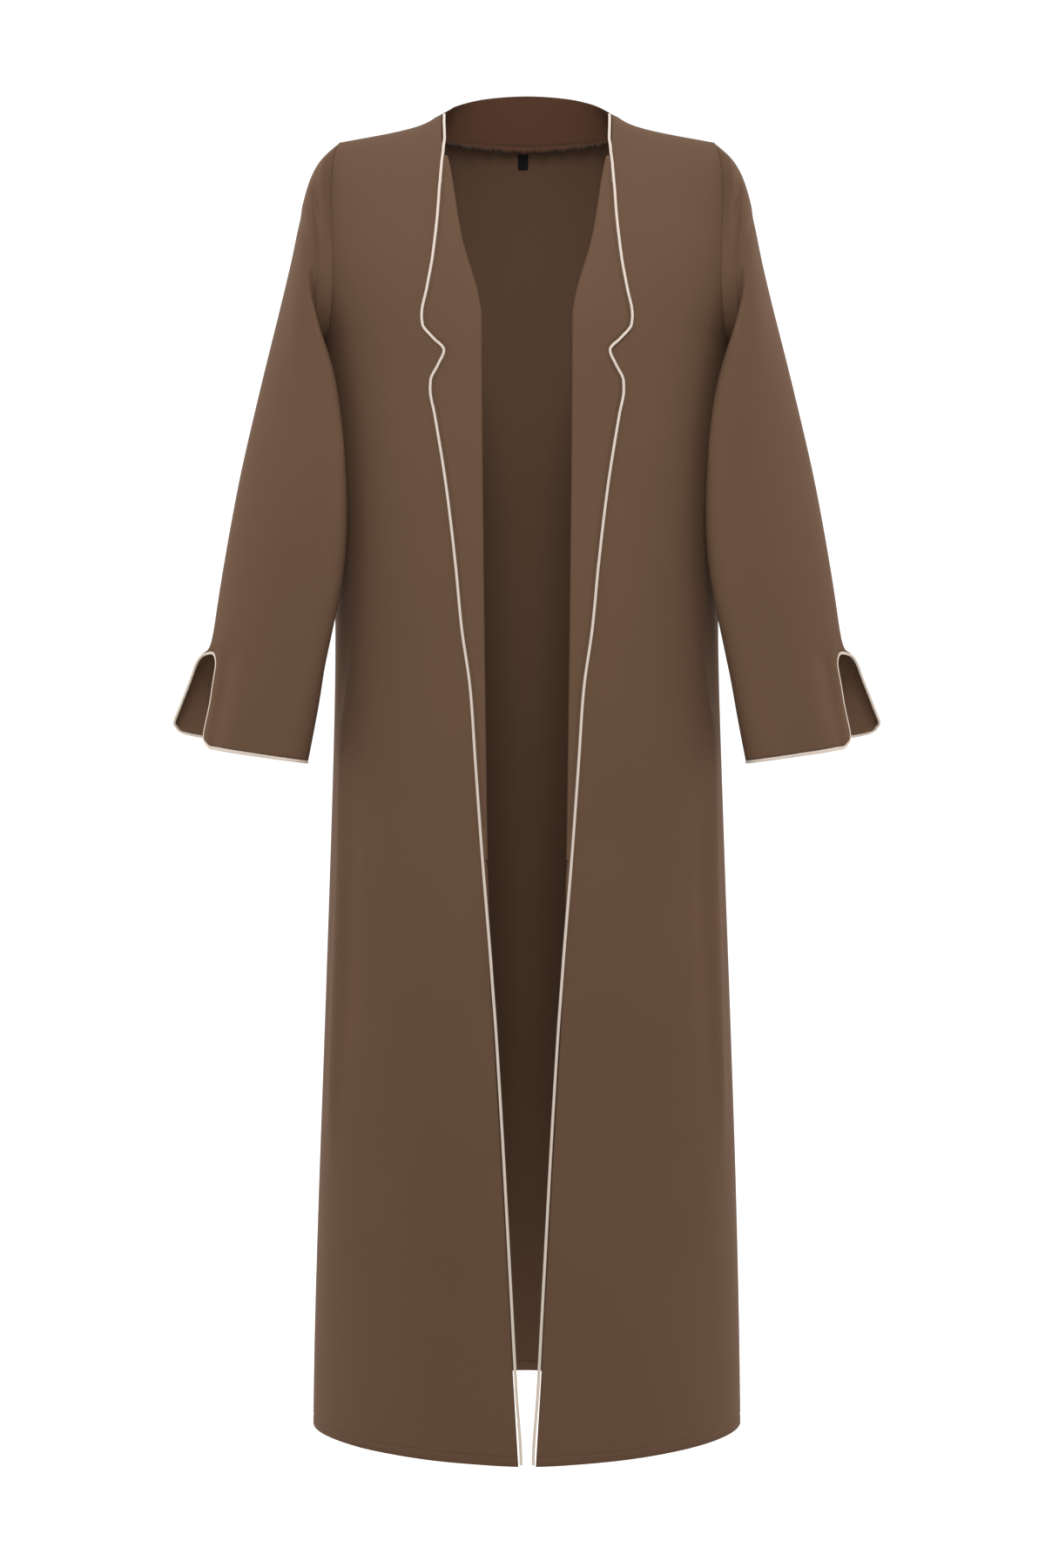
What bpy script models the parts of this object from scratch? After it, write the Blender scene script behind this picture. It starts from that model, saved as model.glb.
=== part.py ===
"""Abaya cloak: a long open robe, filled out as worn, as closed cloth walls.

World frame in metres: +X is the wearer's left, -Y is the front, +Z is up. The origin is the
middle of the shoulder line, where the wearer's shoulders carry the garment.

The body is one imagined torso skin, cut into panels. Below the armpit it has superelliptic
sections. Above it, a point is found from x and a rise between 0 (armpit) and 1 (ridge of the
shoulder). Sleeves are rings between the armhole and the cuff.
"""
import math
from collections import namedtuple

import bmesh
import bpy
from mathutils import Vector

WALL = 0.0015
SEAM_GAP = 0.0003
STEP = 0.0005

HEM_Z = -1.372
ARMPIT_Z = -0.240
ARMHOLE_TOP_X = 0.199
ARMHOLE_TOP_Z = -0.0128
ARMHOLE_MIDDLE_Z = (ARMHOLE_TOP_Z + ARMPIT_Z) / 2
NECK_POINT_X = 0.115
COLLAR_CORNER_X = 0.0905

FRONT = -1
BACK = 1

CREPE = (0.133, 0.077, 0.048)
BEIGE = (0.64, 0.52, 0.42)
BLACK = (0.012, 0.011, 0.011)

Section = namedtuple("Section", "z half_width front_depth back_depth squareness")
SECTIONS = [
    Section(-1.372, 0.2268, 0.163, 0.216, 1.75),
    Section(-1.156, 0.2230, 0.158, 0.192, 1.95),
    Section(-0.951, 0.2156, 0.151, 0.170, 2.1),
    Section(-0.737, 0.2077, 0.143, 0.152, 2.25),
    Section(-0.511, 0.2026, 0.134, 0.138, 2.3),
    Section(-0.380, 0.2065, 0.130, 0.132, 2.3),
    Section(-0.240, 0.2140, 0.127, 0.128, 2.3),
]

Yoke = namedtuple("Yoke", "rise half_width armhole_x squareness")
YOKES = [
    Yoke(0.00, 0.2140, 0.2140, 2.3),
    Yoke(0.06, 0.2150, 0.2095, 2.3),
    Yoke(0.13, 0.2180, 0.2055, 2.4),
    Yoke(0.33, 0.2270, 0.2010, 2.7),
    Yoke(0.50, 0.2320, 0.2020, 2.9),
    Yoke(0.83, 0.2340, 0.2045, 3.4),
    Yoke(0.92, 0.2320, 0.2035, 3.7),
    Yoke(1.00, 0.2250, ARMHOLE_TOP_X, 4.0),
]
FRONT_YOKE_POWER = 1.5
BACK_YOKE_POWER = 1.9

Ridge = namedtuple("Ridge", "x front_z back_z")
RIDGES = [
    Ridge(0.0000, 0.0176, 0.0450),
    Ridge(0.0600, 0.0176, 0.0330),
    Ridge(COLLAR_CORNER_X, 0.0172, 0.0150),
    Ridge(0.1040, 0.0095, 0.0095),
    Ridge(NECK_POINT_X, 0.0045, 0.0045),
    Ridge(0.1260, 0.0013, 0.0013),
    Ridge(ARMHOLE_TOP_X, ARMHOLE_TOP_Z, ARMHOLE_TOP_Z),
    Ridge(0.2350, -0.0200, -0.0200),
]

Roll = namedtuple("Roll", "z panel_x")
ROLL_LINE = [
    Roll(-0.0200, 0.0862),
    Roll(-0.0320, 0.0838),
    Roll(-0.0484, 0.0800),
    Roll(-0.1277, 0.0667),
    Roll(-0.1905, 0.0493),
    Roll(-0.2105, 0.0462),
    Roll(-0.2626, 0.0460),
    Roll(-0.4579, 0.0442),
    Roll(-0.7354, 0.0405),
    Roll(-0.8800, 0.0384),
]

Trim = namedtuple("Trim", "z piping_x")
TRIMS = [
    Trim(0.0165, 0.0879),
    Trim(-0.0202, 0.0864),
    Trim(-0.0511, 0.0890),
    Trim(-0.0983, 0.0917),
    Trim(-0.1465, 0.0963),
    Trim(-0.1816, 0.1022),
    Trim(-0.2090, 0.1072),
    Trim(-0.2190, 0.1064),
    Trim(-0.2330, 0.0958),
    Trim(-0.2458, 0.0842),
    Trim(-0.2608, 0.0904),
    Trim(-0.2768, 0.0980),
    Trim(-0.2860, 0.0984),
    Trim(-0.3116, 0.0938),
    Trim(-0.3835, 0.0822),
    Trim(-0.4561, 0.0733),
    Trim(-0.5285, 0.0662),
    Trim(-0.5920, 0.0573),
    Trim(-0.6685, 0.0519),
    Trim(-0.7636, 0.0449),
    Trim(-0.8723, 0.0360),
    Trim(-1.0198, 0.0263),
    Trim(-1.1927, 0.0166),
    Trim(-1.2990, 0.0108),
    Trim(-1.3705, 0.0062),
]
LAPEL_TOP_Z = -0.040
LAPEL_END_Z = -0.7636
LAPEL_SPAN = 0.030
SLANT_REACH = 0.002

PIPING_HALF_WIDTH = 0.0023
PIPING_HALF_HEIGHT = 0.0015
PIPING_SIDES = 8
PIPING_GAP = 0.0005
PIPING_SPAN = 0.026
LAYER_GAP = 1.5 * SEAM_GAP
RISE_OUT_Z = (-0.014, -0.026)
CROSS_OUT_Z = (-0.026, -0.040)
CROSS_IN_Z = (-0.800, -0.875)
RISE_IN_Z = (-0.880, -0.940)

Ring = namedtuple("Ring", "outer_x outer_y outer_z inner_x inner_y inner_z half_depth turn lean")
SLEEVE_RINGS = [
    Ring(ARMHOLE_TOP_X, 0, ARMHOLE_TOP_Z, 0.2140, 0, ARMPIT_Z, 0.062, 0, 0.000),
    Ring(0.2141, 0.000, -0.0259, 0.2195, -0.002, -0.2365, 0.070, 0, 0.000),
    Ring(0.2280, 0.000, -0.0463, 0.2235, -0.006, -0.2440, 0.073, 0, 0.003),
    Ring(0.2372, -0.002, -0.0790, 0.2225, -0.014, -0.2560, 0.073, 0, 0.008),
    Ring(0.2440, -0.004, -0.1156, 0.2180, -0.024, -0.2700, 0.071, 2, 0.014),
    Ring(0.2530, -0.007, -0.1560, 0.2120, -0.036, -0.2880, 0.068, 5, 0.017),
    Ring(0.2635, -0.010, -0.1980, 0.2050, -0.049, -0.3120, 0.064, 8, 0.016),
    Ring(0.2770, -0.014, -0.2544, 0.1960, -0.062, -0.3420, 0.060, 12, 0.012),
    Ring(0.2897, -0.017, -0.3120, 0.1900, -0.070, -0.3800, 0.057, 16, 0.006),
    Ring(0.3005, -0.020, -0.3620, 0.1880, -0.075, -0.4180, 0.055, 20, 0.002),
    Ring(0.3105, -0.023, -0.4163, 0.1890, -0.077, -0.4560, 0.053, 22, 0.000),
    Ring(0.3185, -0.027, -0.4625, 0.1940, -0.077, -0.4930, 0.052, 22, 0.000),
    Ring(0.3255, -0.031, -0.5088, 0.2020, -0.076, -0.5290, 0.051, 22, 0.000),
    Ring(0.3310, -0.036, -0.5530, 0.2100, -0.075, -0.5690, 0.051, 20, 0.000),
    Ring(0.3375, -0.042, -0.6035, 0.2180, -0.074, -0.6190, 0.051, 17, 0.000),
    Ring(0.3430, -0.048, -0.6500, 0.2265, -0.074, -0.6655, 0.051, 14, 0.000),
]
SLEEVE_ROUNDNESS = 2.2
SLEEVE_CLEARANCE = 0.0035
LEAN_DIRECTION = 125
LEAN_WIDTH = 35
SLIT_TOP = 13
CUFF_END = len(SLEEVE_RINGS) - 1
SLIT_STATIONS = (13.2, 13.6, 14, 14.5)
SLIT_PARTING = 0.0020
SLIT_PARTING_END = math.radians(60)
FLAP_SWING = Vector((0.034, 0.050, 0.026))
FLAP_EARLINESS = 0.75
FLAP_START = math.radians(235)
CUFF_CORNER = 0.010
RIM_STATION_STEP = 0.2
RIM_ANGLE_STEP = 0.15

BODY_ROWS_BELOW = 12
YOKE_RISES = (0.0, 0.02, 0.06, 0.13, 0.23, 0.35, 0.47, 0.59, 0.71, 0.82, 0.91, 0.965, 0.99, 1.0)
BODY_ROWS = BODY_ROWS_BELOW + len(YOKE_RISES) - 1
NECK_BLEND_RISE = 0.8
SHOULDER_COLUMNS = 8
NECK_COLUMNS = 4
COLLAR_FRONT_COLUMNS = 2
LAPEL_COLUMNS = 4
COLLAR_ROWS = 4

COLLAR_TOP_Y = 0.075
COLLAR_TOP_Z = 0.0518
COLLAR_TOP_POWER = 1.2
NECK_DEPTH_Y = 0.070

TAG_WIDTH = 0.011
TAG_LENGTH = 0.015
TAG_WALL = 0.0012
TAG_CENTRE_X = -0.004
TAG_GAP = 0.0012
TAG_DROP = 0.0045
TAG_ROWS = 3

SHARP_ANGLE = math.radians(50)
WELD = 0.00002
ROUNDING = 0.000001

Fold = namedtuple("Fold", "side angle width height top bottom")
FOLD_FADE_BELOW = 0.25
FOLD_FADE_ABOVE = 0.15
FOLDS = [
    Fold(FRONT, 66, 7, 0.0035, -0.500, -1.330),
    Fold(FRONT, 40, 9, -0.0020, -0.700, -1.500),
    Fold(BACK, 68, 8, -0.0045, -0.450, -1.500),
    Fold(BACK, 46, 9, 0.0060, -0.420, -1.600),
    Fold(BACK, 22, 9, -0.0060, -0.380, -1.600),
    Fold(BACK, 0, 10, 0.0060, -0.400, -1.600),
]


def steady(rows, key, column):
    """Read a column of a table at a key in its first column, without overshoot."""
    if rows[0][0] > rows[-1][0]:
        rows = rows[::-1]
    index = rows[0]._fields.index(column)
    if key <= rows[0][0]:
        return rows[0][index]
    if key >= rows[-1][0]:
        return rows[-1][index]
    spot = next(i for i in range(len(rows) - 1) if key < rows[i + 1][0])

    def slope(i):
        if i < 0 or i + 1 >= len(rows):
            return 0.0
        return (rows[i + 1][index] - rows[i][index]) / (rows[i + 1][0] - rows[i][0])

    def tangent(i):
        before, after = slope(i - 1), slope(i)
        return 0.0 if before * after <= 0 else 2 * before * after / (before + after)

    span = rows[spot + 1][0] - rows[spot][0]
    t = (key - rows[spot][0]) / span
    start, end = rows[spot][index], rows[spot + 1][index]
    ends = (2 * t**3 - 3 * t**2 + 1) * start + (3 * t**2 - 2 * t**3) * end
    bends = (t**3 - 2 * t**2 + t) * tangent(spot) + (t**3 - t**2) * tangent(spot + 1)
    return ends + span * bends


def ease(value, start, end):
    """Go smoothly from 0 at start to 1 at end."""
    t = min(1.0, max(0.0, (value - start) / (end - start)))
    return t * t * (3 - 2 * t)


def arc(reach, fraction, squareness):
    """Depth of a superellipse at a fraction of its half width."""
    return reach * max(0.0, 1 - abs(fraction) ** squareness) ** (1 / squareness)


def ridge_z(side, x):
    return steady(RIDGES, abs(x), "front_z" if side == FRONT else "back_z")


def panel_edge(z):
    """Front edge of a front panel: beside the piping, or at the roll of the lapel."""
    beside = steady(TRIMS, z, "piping_x") + PIPING_HALF_WIDTH + PIPING_GAP
    rolled = ease(z, *CROSS_OUT_Z) * (1 - ease(z, *CROSS_IN_Z))
    return beside + (steady(ROLL_LINE, z, "panel_x") - beside) * rolled


def yoke_reach(side, rise):
    """Depth of the middle of the chest or back at a rise above the armpit."""
    if side == FRONT:
        return arc(SECTIONS[-1].front_depth, min(rise, 1), FRONT_YOKE_POWER)
    return arc(SECTIONS[-1].back_depth, min(rise, 1), BACK_YOKE_POWER)


def fold_height(side, x, z):
    """Depth that the long soft folds add below the armpit."""
    width = steady(SECTIONS, z, "half_width")
    angle = math.degrees(math.asin(min(1.0, abs(x) / width)))
    total = 0.0
    for fold in FOLDS:
        if fold.side == side and z < fold.top:
            bell = math.exp(-((angle - fold.angle) / fold.width) ** 2)
            fade = ease(z, fold.top, fold.top - FOLD_FADE_BELOW)
            fade *= ease(z, fold.bottom, fold.bottom + FOLD_FADE_ABOVE)
            total += fold.height * bell * fade
    return total


def skin_y(side, x, z):
    """Place the outside of the front or back at x and z."""
    if z <= ARMPIT_Z:
        width = steady(SECTIONS, z, "half_width")
        depth = steady(SECTIONS, z, "front_depth" if side == FRONT else "back_depth")
        power = steady(SECTIONS, z, "squareness")
        return side * (arc(depth, x / width, power) + fold_height(side, x, z))
    rise = (z - ARMPIT_Z) / (ridge_z(side, x) - ARMPIT_Z)
    width = steady(YOKES, rise, "half_width")
    return side * arc(yoke_reach(side, rise), x / width, steady(YOKES, rise, "squareness"))


def skin(side, x, z):
    return Vector((x, skin_y(side, x, z), z))


def skin_normal(side, x, z):
    """Outward normal of the front or back, away from its rims."""
    across = (skin_y(side, x + STEP, z) - skin_y(side, x - STEP, z)) / (2 * STEP)
    along = (skin_y(side, x, z + STEP) - skin_y(side, x, z - STEP)) / (2 * STEP)
    return Vector((-side * across, side, -side * along)).normalized()


def ridge_normal(side, x):
    """Normal in the plane of the shoulder seam."""
    slope = (ridge_z(side, x + STEP) - ridge_z(side, x - STEP)) / (2 * STEP)
    return Vector((-slope, 0, 1)).normalized()


def yoke_angle(rise, x, limit):
    """Angle of a point on the superellipse whose end is at limit."""
    return math.asin(min(1.0, x / limit) ** (steady(YOKES, rise, "squareness") / 2))


def body_columns(side):
    """Column angles as fractions of the way from the front edge or centre back."""
    top_corner = yoke_angle(1, COLLAR_CORNER_X, ARMHOLE_TOP_X)
    neck = yoke_angle(1, NECK_POINT_X, ARMHOLE_TOP_X)
    start = top_corner if side == FRONT else 0.0
    inner = COLLAR_FRONT_COLUMNS if side == FRONT else NECK_COLUMNS
    angles = [start + (neck - start) * i / inner for i in range(inner)]
    angles += [neck + (math.pi / 2 - neck) * i / SHOULDER_COLUMNS
               for i in range(SHOULDER_COLUMNS + 1)]
    return [(angle - start) / (math.pi / 2 - start) for angle in angles]


def neck_seam_y(x):
    """How far back the neck seam runs at x."""
    return NECK_DEPTH_Y * math.sqrt(max(0.0, 1 - (x / NECK_POINT_X) ** 2))


def top_rise(side, x):
    """Rise at which a panel ends: the ridge, or the neck seam at the back."""
    if side == FRONT or x >= NECK_POINT_X - ROUNDING:
        return 1.0
    return arc(1, neck_seam_y(x) / SECTIONS[-1].back_depth, BACK_YOKE_POWER)


def back_top_x(fraction):
    """Where a column of the back ends on the ridge."""
    return ARMHOLE_TOP_X * math.sin(math.pi / 2 * fraction) ** (2 / YOKES[-1].squareness)


def body_place(side, hand, fraction, row):
    """Outside point and normal of a body panel, for one half of the garment."""
    if row < BODY_ROWS_BELOW:
        z = HEM_Z + (ARMPIT_Z - HEM_Z) * row / BODY_ROWS_BELOW
        width = limit = steady(SECTIONS, z, "half_width")
        power = steady(SECTIONS, z, "squareness")
        rise = None
    else:
        rise = YOKE_RISES[row - BODY_ROWS_BELOW]
        limit = steady(YOKES, rise, "armhole_x")
        power = steady(YOKES, rise, "squareness")
        z = ARMPIT_Z + rise * (RIDGES[0].front_z - ARMPIT_Z)
    start = 0.0
    if side == FRONT:
        start = math.asin((panel_edge(z) / limit) ** (power / 2))
    x = limit * math.sin(start + (math.pi / 2 - start) * fraction) ** (2 / power)
    at_rim = fraction == 1 and (rise is None or rise == 0)
    if rise is not None:
        if side == BACK:
            top_x = back_top_x(fraction)
            rise *= top_rise(side, top_x)
            if top_x < NECK_POINT_X - ROUNDING and rise > 0:
                shift = ease(YOKE_RISES[row - BODY_ROWS_BELOW], NECK_BLEND_RISE, 1)
                x += (top_x - x) * shift
        z = ARMPIT_Z + rise * (ridge_z(side, x) - ARMPIT_Z)
    if at_rim:
        point, normal = Vector((x, 0, z)), Vector((1, 0, 0))
    elif rise == 1.0:
        point, normal = Vector((x, 0, z)), ridge_normal(side, x)
    else:
        point, normal = skin(side, x, z), skin_normal(side, x, z)
    if at_rim or rise == 1.0:
        point.y += side * SEAM_GAP / 2
    return mirrored(point, hand), mirrored(normal, hand)


def mirrored(vector, hand):
    return Vector((vector.x * hand, vector.y, vector.z))


def lay_sheet(columns, rows, place):
    """Lay a grid of quads over a surface and keep the outward normals on its corners."""
    sheet = bmesh.new()
    outward = sheet.verts.layers.float_vector.new("outward")
    bmesh.ops.create_grid(sheet, x_segments=columns, y_segments=rows, size=0.5)
    for vert in sheet.verts:
        column = round((vert.co.x + 0.5) * columns)
        row = round((vert.co.y + 0.5) * rows)
        vert.co, vert[outward] = place(column, row)
    return sheet


def give_wall(sheet, wall):
    """Extrude a sheet inwards into a closed wall."""
    outward = sheet.verts.layers.float_vector["outward"]
    grown = bmesh.ops.extrude_face_region(sheet, geom=list(sheet.faces), use_keep_orig=True)
    for item in grown["geom"]:
        if isinstance(item, bmesh.types.BMVert):
            item.co -= item[outward] * wall
    bmesh.ops.recalc_face_normals(sheet, faces=sheet.faces)


def cloth_material(name, colour, roughness):
    material = bpy.data.materials.new(name)
    material.use_nodes = True
    shader = material.node_tree.nodes["Principled BSDF"]
    shader.inputs["Base Color"].default_value = (*colour, 1)
    shader.inputs["Roughness"].default_value = roughness
    shader.inputs["Metallic"].default_value = 0.0
    return material


def add_node(name, shape, colour, roughness=0.8):
    """Put a finished shape into the scene as one named object."""
    mesh = bpy.data.meshes.new(name)
    shape.to_mesh(mesh)
    shape.free()
    mesh.shade_smooth()
    mesh.set_sharp_from_angle(angle=SHARP_ANGLE)
    mesh.materials.append(cloth_material(name, colour, roughness))
    node = bpy.data.objects.new(name, mesh)
    bpy.context.scene.collection.objects.link(node)
    return node


def add_front(name, hand):
    fractions = body_columns(FRONT)
    sheet = lay_sheet(len(fractions) - 1, BODY_ROWS,
                      lambda column, row: body_place(FRONT, hand, fractions[column], row))
    give_wall(sheet, WALL)
    add_node(name, sheet, CREPE)


def add_back():
    half = body_columns(BACK)
    sides = [(-1, fraction) for fraction in half[:0:-1]] + [(1, fraction) for fraction in half]
    sheet = lay_sheet(len(sides) - 1, BODY_ROWS,
                      lambda column, row: body_place(BACK, *sides[column], row))
    give_wall(sheet, WALL)
    add_node("back", sheet, CREPE)


def collar_top(t):
    """Top edge of the collar, from 0 at the centre back to 1 at the front corner."""
    corner_z = ridge_z(FRONT, COLLAR_CORNER_X)
    backness = math.sqrt(1 - t * t)
    return Vector((COLLAR_CORNER_X * t, COLLAR_TOP_Y * backness,
                   corner_z + (COLLAR_TOP_Z - corner_z) * backness ** COLLAR_TOP_POWER))


def body_neck_point(x):
    """Point of the back's neck seam, with the back's normal there."""
    rise = top_rise(BACK, x)
    z = ARMPIT_Z + rise * (ridge_z(BACK, x) - ARMPIT_Z)
    if rise == 1.0:
        return Vector((x, SEAM_GAP / 2, z)), ridge_normal(BACK, x)
    return skin(BACK, x, z), skin_normal(BACK, x, z)


def collar_place(hand, t, row):
    """Outside point and normal of the collar, between its foot and its top edge."""
    height = row / COLLAR_ROWS
    if t == 1:
        x = NECK_POINT_X - SEAM_GAP + (COLLAR_CORNER_X - NECK_POINT_X + SEAM_GAP) * height
        return (mirrored(Vector((x, SEAM_GAP / 2, ridge_z(FRONT, x))), hand),
                mirrored(ridge_normal(FRONT, x), hand))
    foot, foot_normal = body_neck_point(t * NECK_POINT_X)
    top = collar_top(t)
    beside = (body_neck_point(t * NECK_POINT_X + STEP)[0]
              - body_neck_point(max(0.0, t * NECK_POINT_X - STEP))[0]).normalized()
    lift = beside.cross(foot_normal)
    if lift.z < 0:
        lift = -lift
    start = foot + lift * SEAM_GAP
    point = start.lerp(top, height)
    if row == 0:
        return mirrored(point, hand), mirrored(foot_normal, hand)
    rise = (top - start).normalized()
    outward = beside.cross(rise)
    if outward.y < 0:
        outward = -outward
    return mirrored(point, hand), mirrored(outward.normalized(), hand)


def add_collar():
    half = [back_top_x(fraction) / NECK_POINT_X for fraction in body_columns(BACK)[:NECK_COLUMNS]]
    half.append(1)
    sides = [(-1, t) for t in half[:0:-1]] + [(1, t) for t in half]
    sheet = lay_sheet(len(sides) - 1, COLLAR_ROWS,
                      lambda column, row: collar_place(*sides[column], row))
    give_wall(sheet, WALL)
    add_node("collar_back", sheet, CREPE)


def trim_levels(top, bottom, longest):
    """Heights of the trim table between two levels, with long spans divided."""
    marks = [top] + [row.z for row in TRIMS if bottom < row.z < top] + [bottom]
    levels = []
    for upper, lower in zip(marks, marks[1:]):
        parts = max(1, math.ceil((upper - lower) / longest))
        levels += [upper + (lower - upper) * i / parts for i in range(parts)]
    return levels + [bottom]


def lapel_rim(z):
    """Outer rim of a lapel, parted from the piping squarely to the piping's slant."""
    piping = steady(TRIMS, z, "piping_x")
    slants = [(steady(TRIMS, z + reach, "piping_x") - piping) / reach
              for reach in (SLANT_REACH, -SLANT_REACH)]
    stretch = max(math.hypot(1, slant) for slant in slants)
    return piping - (PIPING_HALF_WIDTH + LAYER_GAP) * stretch


def add_lapel(name, hand):
    """A lapel lies on its front panel: the panel's points, moved out."""
    levels = trim_levels(LAPEL_TOP_Z, LAPEL_END_Z, LAPEL_SPAN)

    def place(column, row):
        z = levels[row]
        roll = panel_edge(z)
        x = roll + (lapel_rim(z) - roll) * column / LAPEL_COLUMNS
        normal = skin_normal(FRONT, x, z)
        point = skin(FRONT, x, z) + normal * (WALL + LAYER_GAP)
        return mirrored(point, hand), mirrored(normal, hand)

    sheet = lay_sheet(LAPEL_COLUMNS, len(levels) - 1, place)
    give_wall(sheet, WALL)
    add_node(name, sheet, CREPE)


def sweep(path, normals, half_width, half_height):
    """Carry an oval section along a path and close both ends."""
    shape = bmesh.new()
    rings = []
    for index, centre in enumerate(path):
        before = path[max(0, index - 1)]
        after = path[min(len(path) - 1, index + 1)]
        tangent = (after - before).normalized()
        aside = tangent.cross(normals[index]).normalized()
        upright = aside.cross(tangent)
        ring = []
        for corner in range(PIPING_SIDES):
            angle = 2 * math.pi * (corner + 0.5) / PIPING_SIDES
            offset = aside * half_width * math.cos(angle) + upright * half_height * math.sin(angle)
            ring.append(shape.verts.new(centre + offset))
        rings.append(ring)
    for lower, upper in zip(rings, rings[1:]):
        for corner in range(PIPING_SIDES):
            after = (corner + 1) % PIPING_SIDES
            shape.faces.new((lower[corner], lower[after], upper[after], upper[corner]))
    shape.faces.new(rings[0])
    shape.faces.new(rings[-1])
    bmesh.ops.recalc_face_normals(shape, faces=shape.faces)
    return shape


def add_front_piping(name, hand):
    """The piping leaves the collar corner on the panel's edge, crosses over it at the roll
    of the lapel, lies on the panel beside the lapel and comes back to the edge below it."""
    path, normals = [], []
    levels = trim_levels(TRIMS[0].z, TRIMS[-1].z, PIPING_SPAN)
    levels = sorted({*levels, *RISE_OUT_Z, *CROSS_OUT_Z, *RISE_IN_Z}, reverse=True)
    on_edge = -WALL / 2
    on_panel = PIPING_HALF_HEIGHT + LAYER_GAP
    for z in levels:
        x = steady(TRIMS, z, "piping_x")
        over = ease(z, *RISE_OUT_Z) * (1 - ease(z, *RISE_IN_Z))
        normal = skin_normal(FRONT, x, z)
        point = skin(FRONT, x, z) + normal * (on_edge + (on_panel - on_edge) * over)
        path.append(mirrored(point, hand))
        normals.append(mirrored(normal, hand))
    add_node(name, sweep(path, normals, PIPING_HALF_WIDTH, PIPING_HALF_HEIGHT), BEIGE, 0.6)


def armhole_loop():
    """Points round the armhole with the body's normals: down its front, up its back."""
    down = [body_place(FRONT, 1, 1, BODY_ROWS_BELOW + i) for i in range(len(YOKE_RISES))][::-1]
    up = [body_place(BACK, 1, 1, BODY_ROWS_BELOW + i) for i in range(len(YOKE_RISES))]
    loop = down[:-1] + [(Vector((down[-1][0].x, 0, down[-1][0].z)), down[-1][1])] + up[1:-1]
    loop[0] = (Vector((loop[0][0].x, 0, loop[0][0].z)), loop[0][1])
    return loop


def loop_angle(point):
    """Angle of an armhole point about the armhole's middle: 0 at the shoulder, 180 below."""
    half_height = (ARMHOLE_TOP_Z - ARMPIT_Z) / 2
    rise = (point.z - ARMHOLE_MIDDLE_Z) / half_height
    return math.atan2(-point.y / SLEEVE_RINGS[0].half_depth, rise) % (2 * math.pi)


def ring_value(station, column):
    """Read a column of the ring table at a station between its rows, as a smooth curve."""
    index = Ring._fields.index(column)
    spot = min(int(station), CUFF_END - 1)
    t = station - spot
    row = [SLEEVE_RINGS[min(max(spot + i, 0), CUFF_END)][index] for i in (-1, 0, 1, 2)]
    bend = (row[2] - row[0] + (2 * row[0] - 5 * row[1] + 4 * row[2] - row[3]) * t
            + (3 * (row[1] - row[2]) + row[3] - row[0]) * t * t)
    return row[1] + 0.5 * t * bend


def ring_guides(station):
    """Outer and inner guide points of a sleeve ring."""
    outer = Vector([ring_value(station, name) for name in ("outer_x", "outer_y", "outer_z")])
    inner = Vector([ring_value(station, name) for name in ("inner_x", "inner_y", "inner_z")])
    return outer, inner


def clear_of_body(point):
    """Push a sleeve point out of the body and its clearance."""
    if point.z > ARMPIT_Z:
        if point.y < 0 and point.x < ARMHOLE_TOP_X:
            reach = skin_y(FRONT, point.x, point.z) - SLEEVE_CLEARANCE
            point.y = min(point.y, reach)
        return point
    width = steady(SECTIONS, point.z, "half_width") + SLEEVE_CLEARANCE
    name = "front_depth" if point.y < 0 else "back_depth"
    depth = steady(SECTIONS, point.z, name) + SLEEVE_CLEARANCE
    power = steady(SECTIONS, point.z, "squareness")
    reach = (abs(point.x) / width) ** power + (abs(point.y) / depth) ** power
    if reach < 1:
        scale = reach ** (-1 / power)
        return Vector((point.x * scale, point.y * scale, point.z))
    return point


def sleeve_point(station, angle):
    """Outside of the left sleeve at a station, round from the outer side by the front."""
    outer, inner = ring_guides(station)
    middle, reach = (outer + inner) / 2, (outer - inner) / 2
    turn = math.radians(ring_value(station, "turn"))
    forward = Vector((-math.sin(turn), -math.cos(turn), 0)) * ring_value(station, "half_depth")
    cosine, sine = math.cos(angle), math.sin(angle)
    power = 2 / SLEEVE_ROUNDNESS
    across = math.copysign(abs(cosine) ** power, cosine)
    aside = math.copysign(abs(sine) ** power, sine)
    point = middle + reach * across + forward * aside
    nearness = math.exp(-((math.degrees(angle) - LEAN_DIRECTION) / LEAN_WIDTH) ** 2)
    point.x -= ring_value(station, "lean") * nearness
    if station > SLIT_TOP:
        drop = (station - SLIT_TOP) / (CUFF_END - SLIT_TOP)
        swing = ease(angle, FLAP_START, 2 * math.pi) * drop ** FLAP_EARLINESS
        point += FLAP_SWING * swing
        point.y -= SLIT_PARTING * ease(angle, SLIT_PARTING_END, 0) * min(1, drop * 4)
    return clear_of_body(point)


def sleeve_normal(station, angle):
    low, high = max(0.5, station - 0.05), min(CUFF_END, station + 0.05)
    down = sleeve_point(high, angle) - sleeve_point(low, angle)
    start, end = max(0, angle - 0.02), min(2 * math.pi, angle + 0.02)
    around = sleeve_point(station, end) - sleeve_point(station, start)
    return around.cross(down).normalized()


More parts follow.
